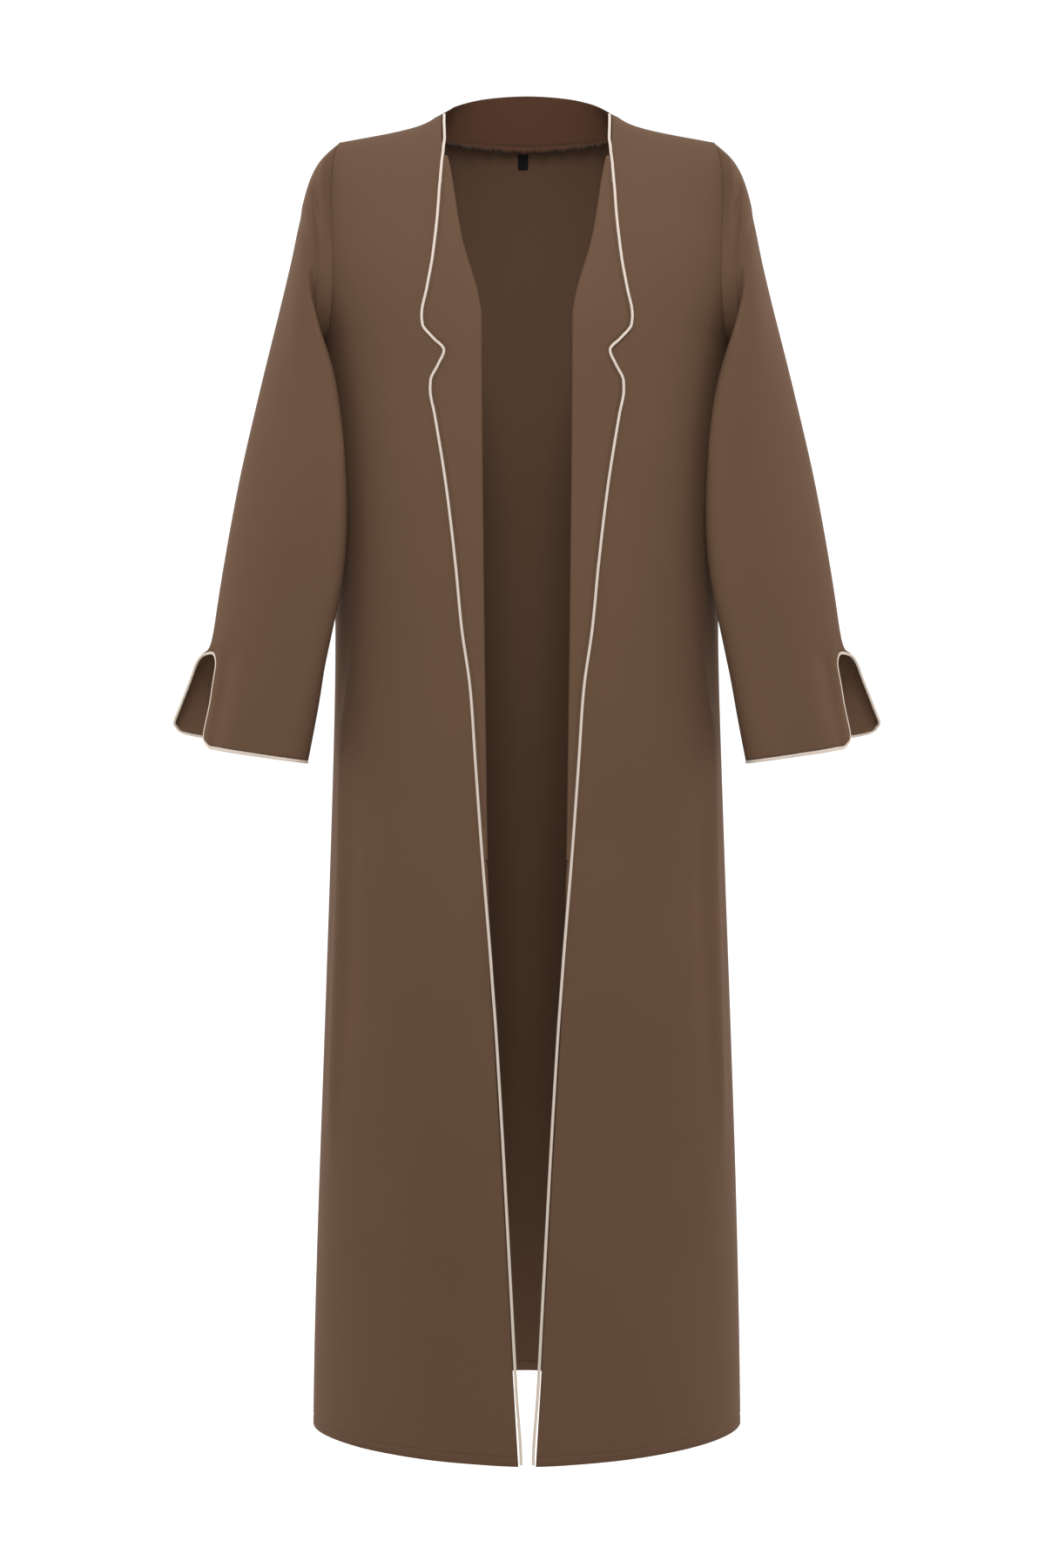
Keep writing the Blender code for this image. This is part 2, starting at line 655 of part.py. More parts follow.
def cuff_station(station, angle):
    """Round the two cuff corners beside the slit by ending the sleeve earlier there."""
    outer, inner = ring_guides(CUFF_END)
    radius = (outer - inner).length / 2
    away = min(angle, 2 * math.pi - angle) * radius
    if away >= CUFF_CORNER or station <= SLIT_TOP:
        return station
    shortfall = CUFF_CORNER - math.sqrt(CUFF_CORNER**2 - (CUFF_CORNER - away) ** 2)
    step = (ring_guides(CUFF_END)[0] - ring_guides(CUFF_END - 1)[0]).length
    share = (station - SLIT_TOP) / (CUFF_END - SLIT_TOP)
    return station - share * shortfall / step


def sleeve_stations():
    return list(range(SLIT_TOP + 1)) + list(SLIT_STATIONS) + [CUFF_END]


def sleeve_angles(loop):
    angles = [loop_angle(point) for point, _ in loop]
    angles[0] = 0.0
    return angles + [2 * math.pi]


def sleeve_place(hand, loop, angles, column, station):
    """Outside point and normal of a sleeve, whose first ring stands inside the armhole."""
    point, normal = loop[column % len(loop)]
    if station == 0:
        before, after = loop[(column - 1) % len(loop)][0], loop[(column + 1) % len(loop)][0]
        lift = normal.cross(after - before).normalized()
        if lift.y * point.y + lift.z * (point.z - ARMHOLE_MIDDLE_Z) > 0:
            lift = -lift
        return mirrored(point + lift * SEAM_GAP, hand), mirrored(normal, hand)
    station = cuff_station(station, angles[column])
    return (mirrored(sleeve_point(station, angles[column]), hand),
            mirrored(sleeve_normal(station, angles[column]), hand))


def add_sleeve(name, hand):
    loop = armhole_loop()
    angles = sleeve_angles(loop)
    stations = sleeve_stations()
    sheet = lay_sheet(len(loop), len(stations) - 1,
                      lambda column, row: sleeve_place(hand, loop, angles, column, stations[row]))
    bmesh.ops.remove_doubles(sheet, verts=sheet.verts, dist=WELD)
    give_wall(sheet, WALL)
    add_node(name, sheet, CREPE)


def add_cuff_piping(name, hand):
    """Piping from the top of the slit down its front, round the hem and up its back."""
    def rim(station, angle):
        return sleeve_point(cuff_station(station, angle), angle)

    down = [(station, 0.0) for station in SLIT_STATIONS]
    round_hem = [(CUFF_END, angle) for angle in sleeve_angles(armhole_loop())]
    stops = down + round_hem + [(station, 2 * math.pi) for station in SLIT_STATIONS[::-1]]
    path, normals = [], []
    for index, (station, angle) in enumerate(stops):
        here = rim(station, angle)
        before = here - rim(*stops[max(0, index - 1)])
        after = rim(*stops[min(len(stops) - 1, index + 1)]) - here
        if before.length == 0 or after.length == 0:
            before = after = before + after
        normal = sleeve_normal(cuff_station(station, angle), angle)
        outward = normal.cross(before.normalized() + after.normalized()).normalized()
        inside = rim(station - RIM_STATION_STEP,
                     angle + math.copysign(RIM_ANGLE_STEP, math.pi - angle))
        if outward.dot(here - inside) < 0:
            outward = -outward
        mitre = 1 / math.cos(before.angle(after) / 2)
        centre = here - normal * WALL / 2 + outward * (PIPING_HALF_WIDTH + PIPING_GAP) * mitre
        path.append(mirrored(centre, hand))
        normals.append(mirrored(normal, hand))
    add_node(name, sweep(path, normals, PIPING_HALF_WIDTH, PIPING_HALF_HEIGHT), BEIGE, 0.6)


def add_size_tag():
    """A small bare tag that hangs from the neck seam inside the back."""
    top = body_neck_point(abs(TAG_CENTRE_X))[0].z - TAG_DROP

    def place(column, row):
        x = TAG_CENTRE_X + TAG_WIDTH * (column / 2 - 0.5)
        z = top - TAG_LENGTH * row / TAG_ROWS
        normal = skin_normal(BACK, x, z)
        return skin(BACK, x, z) - normal * (WALL + TAG_GAP), normal

    sheet = lay_sheet(2, TAG_ROWS, place)
    give_wall(sheet, TAG_WALL)
    add_node("size_tag", sheet, BLACK, 0.7)


def main():
    for item in list(bpy.data.objects):
        bpy.data.objects.remove(item)
    add_back()
    add_collar()
    for side, hand in (("left", 1), ("right", -1)):
        add_front(f"front_{side}", hand)
        add_lapel(f"lapel_{side}", hand)
        add_front_piping(f"piping_{side}", hand)
        add_sleeve(f"sleeve_{side}", hand)
        add_cuff_piping(f"cuff_piping_{side}", hand)
    add_size_tag()


main()
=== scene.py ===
"""Looks of a long open abaya cloak: crepe shells, rolled lapels, piping, seams and stitching.

The row frame is in metres: +X is the wearer's left, -Y the front and +Z up. Each cloth shell
starts from its solid in the frame, is smoothed, and then gets its folds, hems and seams.
"""
import logging
import math
from collections.abc import Callable
from dataclasses import dataclass, field
from enum import Enum
from typing import TypeVar

import bmesh
import bpy
import numpy as np
from mathutils import Matrix, Vector
from mathutils.bvhtree import BVHTree


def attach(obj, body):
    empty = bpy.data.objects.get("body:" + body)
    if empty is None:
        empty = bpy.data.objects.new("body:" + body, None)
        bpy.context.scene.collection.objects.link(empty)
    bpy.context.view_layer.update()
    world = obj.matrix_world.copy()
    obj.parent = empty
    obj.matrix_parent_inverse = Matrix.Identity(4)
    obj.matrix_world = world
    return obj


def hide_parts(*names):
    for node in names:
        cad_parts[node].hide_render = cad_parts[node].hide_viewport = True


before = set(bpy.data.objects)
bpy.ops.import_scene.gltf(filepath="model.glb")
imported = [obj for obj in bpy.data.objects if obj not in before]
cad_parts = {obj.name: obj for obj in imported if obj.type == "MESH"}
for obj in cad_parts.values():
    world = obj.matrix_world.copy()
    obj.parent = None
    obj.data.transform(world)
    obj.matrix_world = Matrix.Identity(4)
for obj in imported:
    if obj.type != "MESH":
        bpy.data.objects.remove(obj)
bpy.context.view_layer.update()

LOG = logging.getLogger("abaya")

Amount = TypeVar("Amount", float, np.ndarray)

MM = 0.001
WELD = 0.01 * MM
RIM_ANGLE = math.radians(50)
QUAD_ANGLE = math.radians(40)
# Distance between the bands of a wave texture of scale 1, level and slanting.
BAND_PERIOD = 0.314
SLANT_PERIOD = 0.363

WALL = 1.5 * MM
RIM_MARK = 1
# A face narrower than this may belong to a rim.
RIM_WIDTH = 1.4 * WALL
HEM_Z = -1.372
HEM_DEPTH = 10 * MM
CUFF_TOP_Z = -0.500
BACKWARDS = Vector((0, 1, 0))
# Share of a corner's radius by which each of its sides is drawn in.
CORNER_PULL = 0.29
BODY_HALF_WIDTH = 0.212
BODY_HALF_DEPTH = 0.135

# Line of the front piping, from the corner of the collar down to the hem: (z, x).
PIPING_LINE = (
    (0.0165, 0.0879), (-0.0202, 0.0864), (-0.0511, 0.0890), (-0.0983, 0.0917),
    (-0.1465, 0.0963), (-0.1816, 0.1022), (-0.2090, 0.1072), (-0.2190, 0.1064),
    (-0.2330, 0.0958), (-0.2458, 0.0842), (-0.2608, 0.0904), (-0.2768, 0.0980),
    (-0.2860, 0.0984), (-0.3116, 0.0938), (-0.3835, 0.0822), (-0.4561, 0.0733),
    (-0.5285, 0.0662), (-0.5920, 0.0573), (-0.6685, 0.0519), (-0.7636, 0.0449),
    (-0.8723, 0.0360), (-1.0198, 0.0263), (-1.1927, 0.0166), (-1.2990, 0.0108),
    (-1.3705, 0.0062),
)
# Room for the fold of the lapel, and the depths between which it comes and goes.
FOLD_ROOM = 2.2 * MM
FOLD_STARTS = (0.024, 0.034)
FOLD_ENDS = (0.75, 0.80)
# Line where the front folds back into the lapel: (z, x).
ROLL_LINE = (
    (-0.0200, 0.0862), (-0.0320, 0.0838), (-0.0484, 0.0800), (-0.1277, 0.0667),
    (-0.1905, 0.0493), (-0.2105, 0.0462), (-0.2626, 0.0460), (-0.4579, 0.0442),
    (-0.7354, 0.0405), (-0.8800, 0.0384),
)


class Hand(Enum):
    """The wearer's left or right half; the value is the sign of x."""

    LEFT = 1
    RIGHT = -1

    @property
    def word(self) -> str:
        """Name of the half in lower case."""
        return self.name.lower()


class Side(Enum):
    """Front or back of the garment; the value is the sign of y."""

    FRONT = -1
    BACK = 1


class Slot(Enum):
    """Material slots of the record."""

    CREPE = "crepe"
    PIPING = "piping"
    TAG = "tag"


# ---------------------------------------------------------------- finishes


def linear(code: str) -> tuple[float, float, float, float]:
    """Turn an sRGB hex colour into linear RGBA.

    Args:
        code: six hex digits.

    Returns:
        The linear colour with alpha 1.
    """
    parts = [int(code[i:i + 2], 16) / 255 for i in (0, 2, 4)]
    bent = [v / 12.92 if v <= 0.04045 else ((v + 0.055) / 1.055) ** 2.4 for v in parts]
    return (*bent, 1.0)


def add_node(tree: bpy.types.NodeTree, kind: str, links: dict | None = None,
             **settings: object) -> bpy.types.Node:
    """Add a shader node with its settings and incoming links.

    Args:
        tree: the material's node tree.
        kind: the node's type name.
        links: input name to the output socket that feeds it.
        settings: node attributes, or input values where the name is an input with
            underscores for spaces.

    Returns:
        The new node.
    """
    node = tree.nodes.new(kind)
    for name, value in settings.items():
        if hasattr(node, name):
            setattr(node, name, value)
        else:
            node.inputs[name.replace("_", " ")].default_value = value
    for name, source in (links or {}).items():
        tree.links.new(source, node.inputs[name])
    return node


@dataclass(frozen=True)
class Finish:
    """What every finish shares: a colour, how matt it is, and a low relief.

    Attributes:
        name: common name of the material.
        colour: its sRGB hex colour.
        roughness: how matt it is.
        relief_mm: height of its relief.
        relief_strength: how clearly the relief shows.
        specular: strength of its highlights.
        sheen: weight of the soft shine of its fibres.
        grain_mm: size of its grain.
        grain_detail: how many finer grains lie in each.
        grain_roughness: how strong the finer ones are.
        slot: the record's slot for it; not used.
    """

    name: str
    colour: str
    roughness: float
    relief_mm: float
    relief_strength: float
    specular: float = 0.5
    sheen: float = 0.0
    grain_mm: float = 1.0
    grain_detail: float = 2.0
    grain_roughness: float = 0.5
    slot: Slot = Slot.CREPE

    def material(self) -> bpy.types.Material:
        """Find the material, or build it from its constants and its relief."""
        found = bpy.data.materials.get(self.name)
        if found:
            return found
        material = bpy.data.materials.new(self.name)
        material.use_nodes = True
        tree = material.node_tree
        shader = tree.nodes["Principled BSDF"]
        shader.inputs["Base Color"].default_value = linear(self.colour)
        shader.inputs["Roughness"].default_value = self.roughness
        shader.inputs["Specular IOR Level"].default_value = self.specular
        shader.inputs["Sheen Weight"].default_value = self.sheen
        place = add_node(tree, "ShaderNodeTexCoord").outputs["Object"]
        bump = add_node(tree, "ShaderNodeBump", {"Height": self.weave(tree, shader, place)},
                        Strength=self.relief_strength, Distance=self.relief_mm * MM)
        tree.links.new(bump.outputs["Normal"], shader.inputs["Normal"])
        return material

    def weave(self, tree: bpy.types.NodeTree, shader: bpy.types.Node,
              place: bpy.types.NodeSocket) -> bpy.types.NodeSocket:
        """Draw the grain, or in a finish with a pattern of its own that pattern.

        Args:
            tree: the material's node tree.
            shader: its Principled node.
            place: the point on the piece.

        Returns:
            The height of the relief.
        """
        grain = add_node(tree, "ShaderNodeTexNoise", {"Vector": place},
                         Scale=1 / (self.grain_mm * MM), Detail=self.grain_detail,
                         Roughness=self.grain_roughness)
        return grain.outputs["Fac"]


@dataclass(frozen=True)
class CrepeFinish(Finish):
    """Polyester crepe: a matt pebbled weave of hard-twisted yarn with a faint sheen.

    The pebbles are drawn coarser than the real 0.5 mm, so that they show.
    """

    name: str = "woven_crepe"
    colour: str = "553f2f"
    shade: str = "4f3a2a"
    grain_mm: float = 0.8
    grain_detail: float = 3.0
    grain_roughness: float = 0.7
    cloud_mm: float = 160.0
    relief_mm: float = 0.10
    relief_strength: float = 0.6
    roughness: float = 0.88
    specular: float = 0.2
    sheen: float = 0.05
    sheen_roughness: float = 0.45
    sheen_tint: str = "b08a6c"

    def weave(self, tree: bpy.types.NodeTree, shader: bpy.types.Node,
              place: bpy.types.NodeSocket) -> bpy.types.NodeSocket:
        """Pebbles of the weave, over clouds of a slightly deeper dye."""
        cloud = add_node(tree, "ShaderNodeTexNoise", {"Vector": place},
                         Scale=1 / (self.cloud_mm * MM), Detail=2.0)
        dye = add_node(tree, "ShaderNodeMix", {"Factor": cloud.outputs["Fac"]}, data_type="RGBA")
        dye.inputs["A"].default_value = linear(self.colour)
        dye.inputs["B"].default_value = linear(self.shade)
        tree.links.new(dye.outputs["Result"], shader.inputs["Base Color"])
        shader.inputs["Sheen Roughness"].default_value = self.sheen_roughness
        shader.inputs["Sheen Tint"].default_value = linear(self.sheen_tint)
        return super().weave(tree, shader, place)


@dataclass(frozen=True)
class PipingFinish(Finish):
    """Satin bias strip over a filler cord: beige, with the slant of its twill.

    The twill is drawn coarser than the real 0.9 mm, so that it shows.
    """

    name: str = "bias_satin"
    colour: str = "b4a89c"
    twill_mm: float = 3.267
    relief_mm: float = 0.12
    relief_strength: float = 0.5
    roughness: float = 0.55
    sheen: float = 0.2
    slot: Slot = Slot.PIPING

    def weave(self, tree: bpy.types.NodeTree, shader: bpy.types.Node,
              place: bpy.types.NodeSocket) -> bpy.types.NodeSocket:
        """Slanting bands of the twill."""
        twill = add_node(tree, "ShaderNodeTexWave", {"Vector": place}, bands_direction="DIAGONAL",
                         Scale=SLANT_PERIOD / (self.twill_mm * MM), Distortion=1.0, Detail=1.0)
        return twill.outputs["Fac"]


@dataclass(frozen=True)
class ThreadFinish(Finish):
    """Spun polyester sewing thread, dyed to the cloth and a little glossier than it."""

    name: str = "sewing_thread"
    colour: str = "3f2d22"
    roughness: float = 0.5
    specular: float = 0.2
    relief_mm: float = 0.05
    relief_strength: float = 0.4
    grain_mm: float = 0.4
    grain_detail: float = 1.0


@dataclass(frozen=True)
class RibbonFinish(Finish):
    """Black woven label ribbon: cross ribs, half matt, with nothing woven into it.

    The ribs are drawn twice as coarse as the real 0.6 mm, so that they show.
    """

    name: str = "black_ribbon"
    colour: str = "0b0a0c"
    rib_mm: float = 1.2
    relief_mm: float = 0.1
    relief_strength: float = 0.5
    roughness: float = 0.7
    specular: float = 0.15
    slot: Slot = Slot.TAG

    def weave(self, tree: bpy.types.NodeTree, shader: bpy.types.Node,
              place: bpy.types.NodeSocket) -> bpy.types.NodeSocket:
        """Level ribs of the ribbon."""
        rib = add_node(tree, "ShaderNodeTexWave", {"Vector": place}, bands_direction="Z",
                       Scale=BAND_PERIOD / (self.rib_mm * MM))
        return rib.outputs["Fac"]


@dataclass(frozen=True)
class PaperFinish(Finish):
    """Matt white paper sweep, with a barely seen tooth."""

    name: str = "white_paper"
    colour: str = "fbfbfb"
    grain_mm: float = 4.0
    relief_mm: float = 0.1
    relief_strength: float = 0.1
    roughness: float = 0.95


CREPE = CrepeFinish()
# A darker copy of the same crepe: painted shade for the collar's side towards the neck and for the
# neck's seam allowance.
CREPE_PAINTED_SHADE = CrepeFinish(name="crepe_painted_shade", colour="412819", shade="3c2416")
PIPING = PipingFinish()
THREAD = ThreadFinish()
# Overlock thread, near black: partly the thread's own colour and partly painted shade along the
# allowance's edge and the seam above it.
OVERLOCK_THREAD_AND_SHADE = ThreadFinish(name="overlock_thread_and_shade", colour="1e140e")


# ---------------------------------------------------------------- shared tools


def read_line(line: tuple[tuple[float, float], ...], z: float) -> float:
    """Read x from a line of (z, x) points as a smooth curve that doesn't overshoot.

    Args:
        line: points from the top down.
        z: the height to read at.

    Returns:
        The line's x at that height.
    """
    if z >= line[0][0]:
        return line[0][1]
    if z <= line[-1][0]:
        return line[-1][1]
    spot = next(i for i in range(len(line) - 1) if z > line[i + 1][0])

    def slope(i: int) -> float:
        """Slope of span i, and 0 past the ends."""
        if i < 0 or i + 1 >= len(line):
            return 0.0
        return (line[i + 1][1] - line[i][1]) / (line[i + 1][0] - line[i][0])

    def tangent(i: int) -> float:
        """Slope of the curve at point i: flat where the line turns back."""
        before, after = slope(i - 1), slope(i)
        return 0.0 if before * after <= 0 else 2 * before * after / (before + after)

    span = line[spot + 1][0] - line[spot][0]
    t = (z - line[spot][0]) / span
    ends = (2 * t**3 - 3 * t**2 + 1) * line[spot][1] + (3 * t**2 - 2 * t**3) * line[spot + 1][1]
    bends = (t**3 - 2 * t**2 + t) * tangent(spot) + (t**3 - t**2) * tangent(spot + 1)
    return ends + span * bends


def ease(value: Amount, start: float, end: float) -> Amount:
    """Go smoothly from 0 at start to 1 at end."""
    t = np.clip((value - start) / (end - start), 0, 1)
    return t * t * (3 - 2 * t)


def between(value: Amount, starts: tuple[float, float], ends: tuple[float, float]) -> Amount:
    """Come smoothly from 0 to 1 over one span and go back to 0 over another."""
    return ease(value, *starts) * (1 - ease(value, *ends))


def mirrored(vector: Vector, hand: Hand) -> Vector:
    """Put a vector of the left half on the given half."""
    return Vector((vector.x * hand.value, vector.y, vector.z))


def lay_grid(columns: int, rows: int, place: Callable[[int, int], Vector]) -> bmesh.types.BMesh:
    """Lay a grid of quads with each corner where a function puts it.

    Args:
        columns: number of quads across.
        rows: number of quads along.
        place: gives the point for a column and a row.

    Returns:
        The open sheet.
    """
    sheet = bmesh.new()
    bmesh.ops.create_grid(sheet, x_segments=columns, y_segments=rows, size=0.5)
    for vert in sheet.verts:
        column = round((vert.co.x + 0.5) * columns)
        row = round((vert.co.y + 0.5) * rows)
        vert.co = place(column, row)
    return sheet


def add_object(name: str, data: bpy.types.ID) -> bpy.types.Object:
    """Put a mesh, a light or a camera into the scene."""
    added = bpy.data.objects.new(name, data)
    bpy.context.scene.collection.objects.link(added)
    return added


def make_piece(name: str, shape: bmesh.types.BMesh, finish: Finish) -> bpy.types.Object:
    """Put a finished shape into the scene as a piece that rides on the one body.

    Args:
        name: the piece's name.
        shape: the mesh, which is freed.
        finish: what the piece is made of.

    Returns:
        The new object.
    """
    mesh = bpy.data.meshes.new(name)
    shape.to_mesh(mesh)
    shape.free()
    return dress(name, mesh, finish)


def dress(name: str, mesh: bpy.types.Mesh, finish: Finish) -> bpy.types.Object:
    """Shade a mesh, give it its finish and let it ride on the body.

    Args:
        name: the piece's name.
        mesh: its mesh, in the row frame.
        finish: what the piece is made of.

    Returns:
        The new object.
    """
    mesh.shade_smooth()
    mesh.set_sharp_from_angle(angle=RIM_ANGLE)
    mesh.materials.clear()
    mesh.materials.append(finish.material())
    piece = add_object(name, mesh)
    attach(piece, "root")
    LOG.info("%s: %d faces", name, len(mesh.polygons))
    return piece


def give_body(sheet: bmesh.types.BMesh, thickness: float) -> None:
    """Turn an open sheet into a closed wall, centred on it.

    Args:
        sheet: the sheet, changed in place.
        thickness: the wall's thickness.
    """
    bmesh.ops.recalc_face_normals(sheet, faces=sheet.faces)
    sheet.normal_update()
    outward = sheet.verts.layers.float_vector.new("outward")
    for vert in sheet.verts:
        vert[outward] = vert.normal
        vert.co += vert.normal * (thickness / 2)
    grown = bmesh.ops.extrude_face_region(sheet, geom=list(sheet.faces), use_keep_orig=True)
    for item in grown["geom"]:
        if isinstance(item, bmesh.types.BMVert):
            item.co -= item[outward] * thickness
    sheet.verts.layers.float_vector.remove(outward)
    bmesh.ops.recalc_face_normals(sheet, faces=sheet.faces)


def sweep(path: list[Vector], normals: list[Vector], half_width: float, half_height: float,
          sides: int = 12) -> bmesh.types.BMesh:
    """Carry an oval section along a path.

    Args:
        path: the section's centres.
        normals: the direction of the oval's height at each centre.
        half_width: half of the oval's width.
        half_height: half of its height.
        sides: corners of the oval.

    Returns:
        A closed cord.
    """
    frames = []
    for index, centre in enumerate(path):
        ahead = path[min(len(path) - 1, index + 1)] - path[max(0, index - 1)]
        aside = ahead.normalized().cross(normals[index]).normalized()
        frames.append((centre, aside, aside.cross(ahead.normalized())))

    def place(column: int, row: int) -> Vector:
        """Point of the section at one of its corners."""
        centre, aside, upright = frames[row]
        angle = 2 * math.pi * column / sides
        across, high = half_width * math.cos(angle), half_height * math.sin(angle)
        return centre + aside * across + upright * high

    cord = lay_grid(sides, len(path) - 1, place)
    bmesh.ops.remove_doubles(cord, verts=cord.verts, dist=WELD)
    bmesh.ops.holes_fill(cord, edges=cord.edges, sides=0)
    bmesh.ops.recalc_face_normals(cord, faces=cord.faces)
    return cord


def tree_of(mesh: bpy.types.Mesh) -> BVHTree:
    """Search tree of a mesh's faces."""
    return BVHTree.FromPolygons([v.co for v in mesh.vertices],
                                [tuple(p.vertices) for p in mesh.polygons])


@dataclass(frozen=True)
class FrontSkin:
    """The outside of one front, read as if it were the left half's.

    Attributes:
        hand: the half it belongs to.
        faces: search tree of its shell.
        step: how far the search moves each time towards the cloth, where a point has none.
        steps: how often it moves.
        in_front: y from which it looks back at the cloth.
        facing: the normal's y below which the cloth faces the front.
    """

    hand: Hand
    faces: BVHTree
    step: float = 0.5 * MM
    steps: int = 40
    in_front: float = -0.5
    facing: float = -0.25

    def at(self, x: float, z: float) -> tuple[Vector, Vector]:
        """Find the outside at x and z, and carry it on level past the front's edge.

        Args:
            x: distance from the middle.
            z: height.

        Returns:
            The point and the normal.
        """
        for index in range(self.steps):
            reach = x + index * self.step
            start = Vector((reach * self.hand.value, self.in_front, z))
            point, normal, _, _ = self.faces.ray_cast(start, BACKWARDS)
            if point is not None and normal.y < self.facing:
                point, normal = mirrored(point, self.hand), mirrored(normal, self.hand)
                return Vector((x, point.y - (x - reach) * normal.x / normal.y, z)), normal
        raise ValueError(f"the front has no cloth near x {x:.3f}, z {z:.3f}")

    def trace(self, spots: list[tuple[float, float, float]]) -> tuple[list[Vector], list[Vector]]:
        """Follow a line over the front, on its own half.

        Args:
            spots: x, z and height over the cloth for each point of the line.

        Returns:
            The points and the cloth's normals under them.
        """
        points, normals = [], []
        for x, z, lift in spots:
            point, normal = self.at(x, z)
            points.append(mirrored(point + normal * lift, self.hand))
            normals.append(mirrored(normal, self.hand))
        return points, normals


def fold_setback(z: float) -> float:
    """How far the edge of a front stands back, to leave room for the lapel's fold."""
    return FOLD_ROOM * between(-z, FOLD_STARTS, FOLD_ENDS)


def beside_piping(z: float, gap: float) -> float:
    """Distance from the middle to a line that runs inside the piping.

    Args:
        z: the height.
        gap: the line's distance from the piping's.

    Returns:
        The line's x.
    """
    slant = (read_line(PIPING_LINE, z + MM) - read_line(PIPING_LINE, z - MM)) / (2 * MM)
    return read_line(PIPING_LINE, z) - gap * math.hypot(1, slant)


def resample(points: list[Vector], normals: list[Vector], pitch: float) -> list[tuple]:
    """Walk along a line of points in equal steps.

    Args:
        points: the line.
        normals: the surface's normal at each point.
        pitch: length of a step.

    Returns:
        For each step: the point, the way ahead and the normal.
    """
    steps, carried = [], 0.0
    for index in range(len(points) - 1):
        start, end = points[index], points[index + 1]
        length = (end - start).length
        while carried < length:
            share = carried / length
            normal = normals[index].lerp(normals[index + 1], share).normalized()
            steps.append((start.lerp(end, share), (end - start).normalized(), normal))
            carried += pitch
        carried -= length
    return steps


@dataclass(frozen=True)
class StitchRow:
    """A row of lockstitches: short threads that dive into the cloth at both ends."""

    pitch: float = 3.0 * MM
    length: float = 2.3 * MM
    thread: float = 0.28 * MM
    lift: float = 0.05 * MM

    def sew(self, name: str, points: list[Vector], normals: list[Vector],
            finish: ThreadFinish) -> bpy.types.Object:
        """Lay the stitches along a line on the cloth.

        Args:
            name: name of the piece.
            points: the line.
            normals: the cloth's normal at each point.
            finish: the thread.

        Returns:
            All the row's stitches as one piece.
        """
        row = bmesh.new()
        for centre, ahead, normal in resample(points, normals, self.pitch):
            aside = normal.cross(ahead).normalized()
            turn = Matrix((aside, normal, ahead)).transposed().to_4x4()
            size = Matrix.Diagonal((self.thread, self.thread, self.length / 2, 1))
            put = Matrix.Translation(centre + normal * self.lift) @ turn @ size
            bmesh.ops.create_uvsphere(row, u_segments=6, v_segments=4, radius=1, matrix=put)
        bmesh.ops.recalc_face_normals(row, faces=row.faces)
        return make_piece(name, row, finish)


# ---------------------------------------------------------------- cloth shells


@dataclass(frozen=True)
class Crease:
    """A soft line in the cloth, on both halves of one side.

    Attributes:
        side: the side it is on.
        line: its points in (x, z) on the left half.
        width: how far it spreads to each side.
        height: how far it stands out, below 0 for a hollow.
        fade: share of its length over which each end fades.
    """

    side: Side
    line: tuple[tuple[float, float], ...]
    width: float
    height: float
    fade: float = 0.2

    def push(self, across: np.ndarray, heights: np.ndarray) -> np.ndarray:
        """How far the crease moves the cloth outwards.

        Args:
            across: distance of each point from the middle, without sign.
            heights: z of each point.

        Returns:
            The push for each point.
        """
        points = np.array(self.line)
        lengths = np.linalg.norm(np.diff(points, axis=0), axis=1)
        total, passed = lengths.sum(), 0.0
        nearest = np.full(across.shape, np.inf)
        share = np.zeros(across.shape)
        for start, end, length in zip(points, points[1:], lengths):
            along = ((across - start[0]) * (end[0] - start[0])
                     + (heights - start[1]) * (end[1] - start[1])) / length**2
            held = np.clip(along, 0, 1)
            gap = np.hypot(across - start[0] - held * (end[0] - start[0]),
                           heights - start[1] - held * (end[1] - start[1]))
            closer = gap < nearest
            nearest = np.where(closer, gap, nearest)
            share = np.where(closer, (passed + held * length) / total, share)
            passed += length
        ends = between(share, (0, self.fade), (1 - self.fade, 1))
        return self.height * np.exp(-((nearest / self.width) ** 2)) * ends


@dataclass(frozen=True)
class Ripple:
    """The slight unevenness of hanging cloth.

    Attributes:
        wave: length of the wave along x, y and z.
        height: how far the wave stands out.
        start: its turn at the origin, in radians.
    """

    wave: tuple[float, float, float]
    height: float
    start: float

    def push(self, points: np.ndarray) -> np.ndarray:
        """Height of the wave at each point."""
        turns = sum(points[:, axis] / length for axis, length in enumerate(self.wave))
        return self.height * np.sin(2 * math.pi * turns + self.start)


RIPPLES = (
    Ripple((0.31, 0.27, 1.9), 0.7 * MM, 0.4),
    Ripple((-0.17, 0.21, 1.1), 0.45 * MM, 1.7),
    Ripple((0.11, -0.19, 0.63), 0.25 * MM, 2.9),
)


def mark_rims(shell: bmesh.types.BMesh) -> None:
    """Mark the narrow faces that close a shell's wall along its edges.

    Args:
        shell: the coarse shell, changed in place.
    """
    for face in shell.faces:
        sharp = sum(edge.calc_face_angle(0) > RIM_ANGLE for edge in face.edges)
        narrow = min(edge.calc_length() for edge in face.edges) < RIM_WIDTH
        face.material_index = RIM_MARK if narrow and sharp >= len(face.edges) - 2 else 0


def rim_loops(shell: bmesh.types.BMesh) -> list[list[bmesh.types.BMVert]]:
    """Follow the borders between marked rims and the cloth.

    Args:
        shell: a shell whose rims are marked.

    Returns:
        The closed rows of vertices.
    """
    border = {}
    for edge in shell.edges:
        if sorted(face.material_index for face in edge.link_faces) == [0, RIM_MARK]:
            for vert in edge.verts:
                border.setdefault(vert, []).append(edge.other_vert(vert))
    loops, seen = [], set()
    for first in border:
        loop, vert = [], first
        while vert not in seen:
            seen.add(vert)
            loop.append(vert)
            vert = next((other for other in border[vert] if other not in seen), vert)
        if loop:
            loops.append(loop)
    return loops


def level_out(vector: Vector) -> Vector:
    """Part of a vector that the front sees."""
    return Vector((vector.x, 0, vector.z))


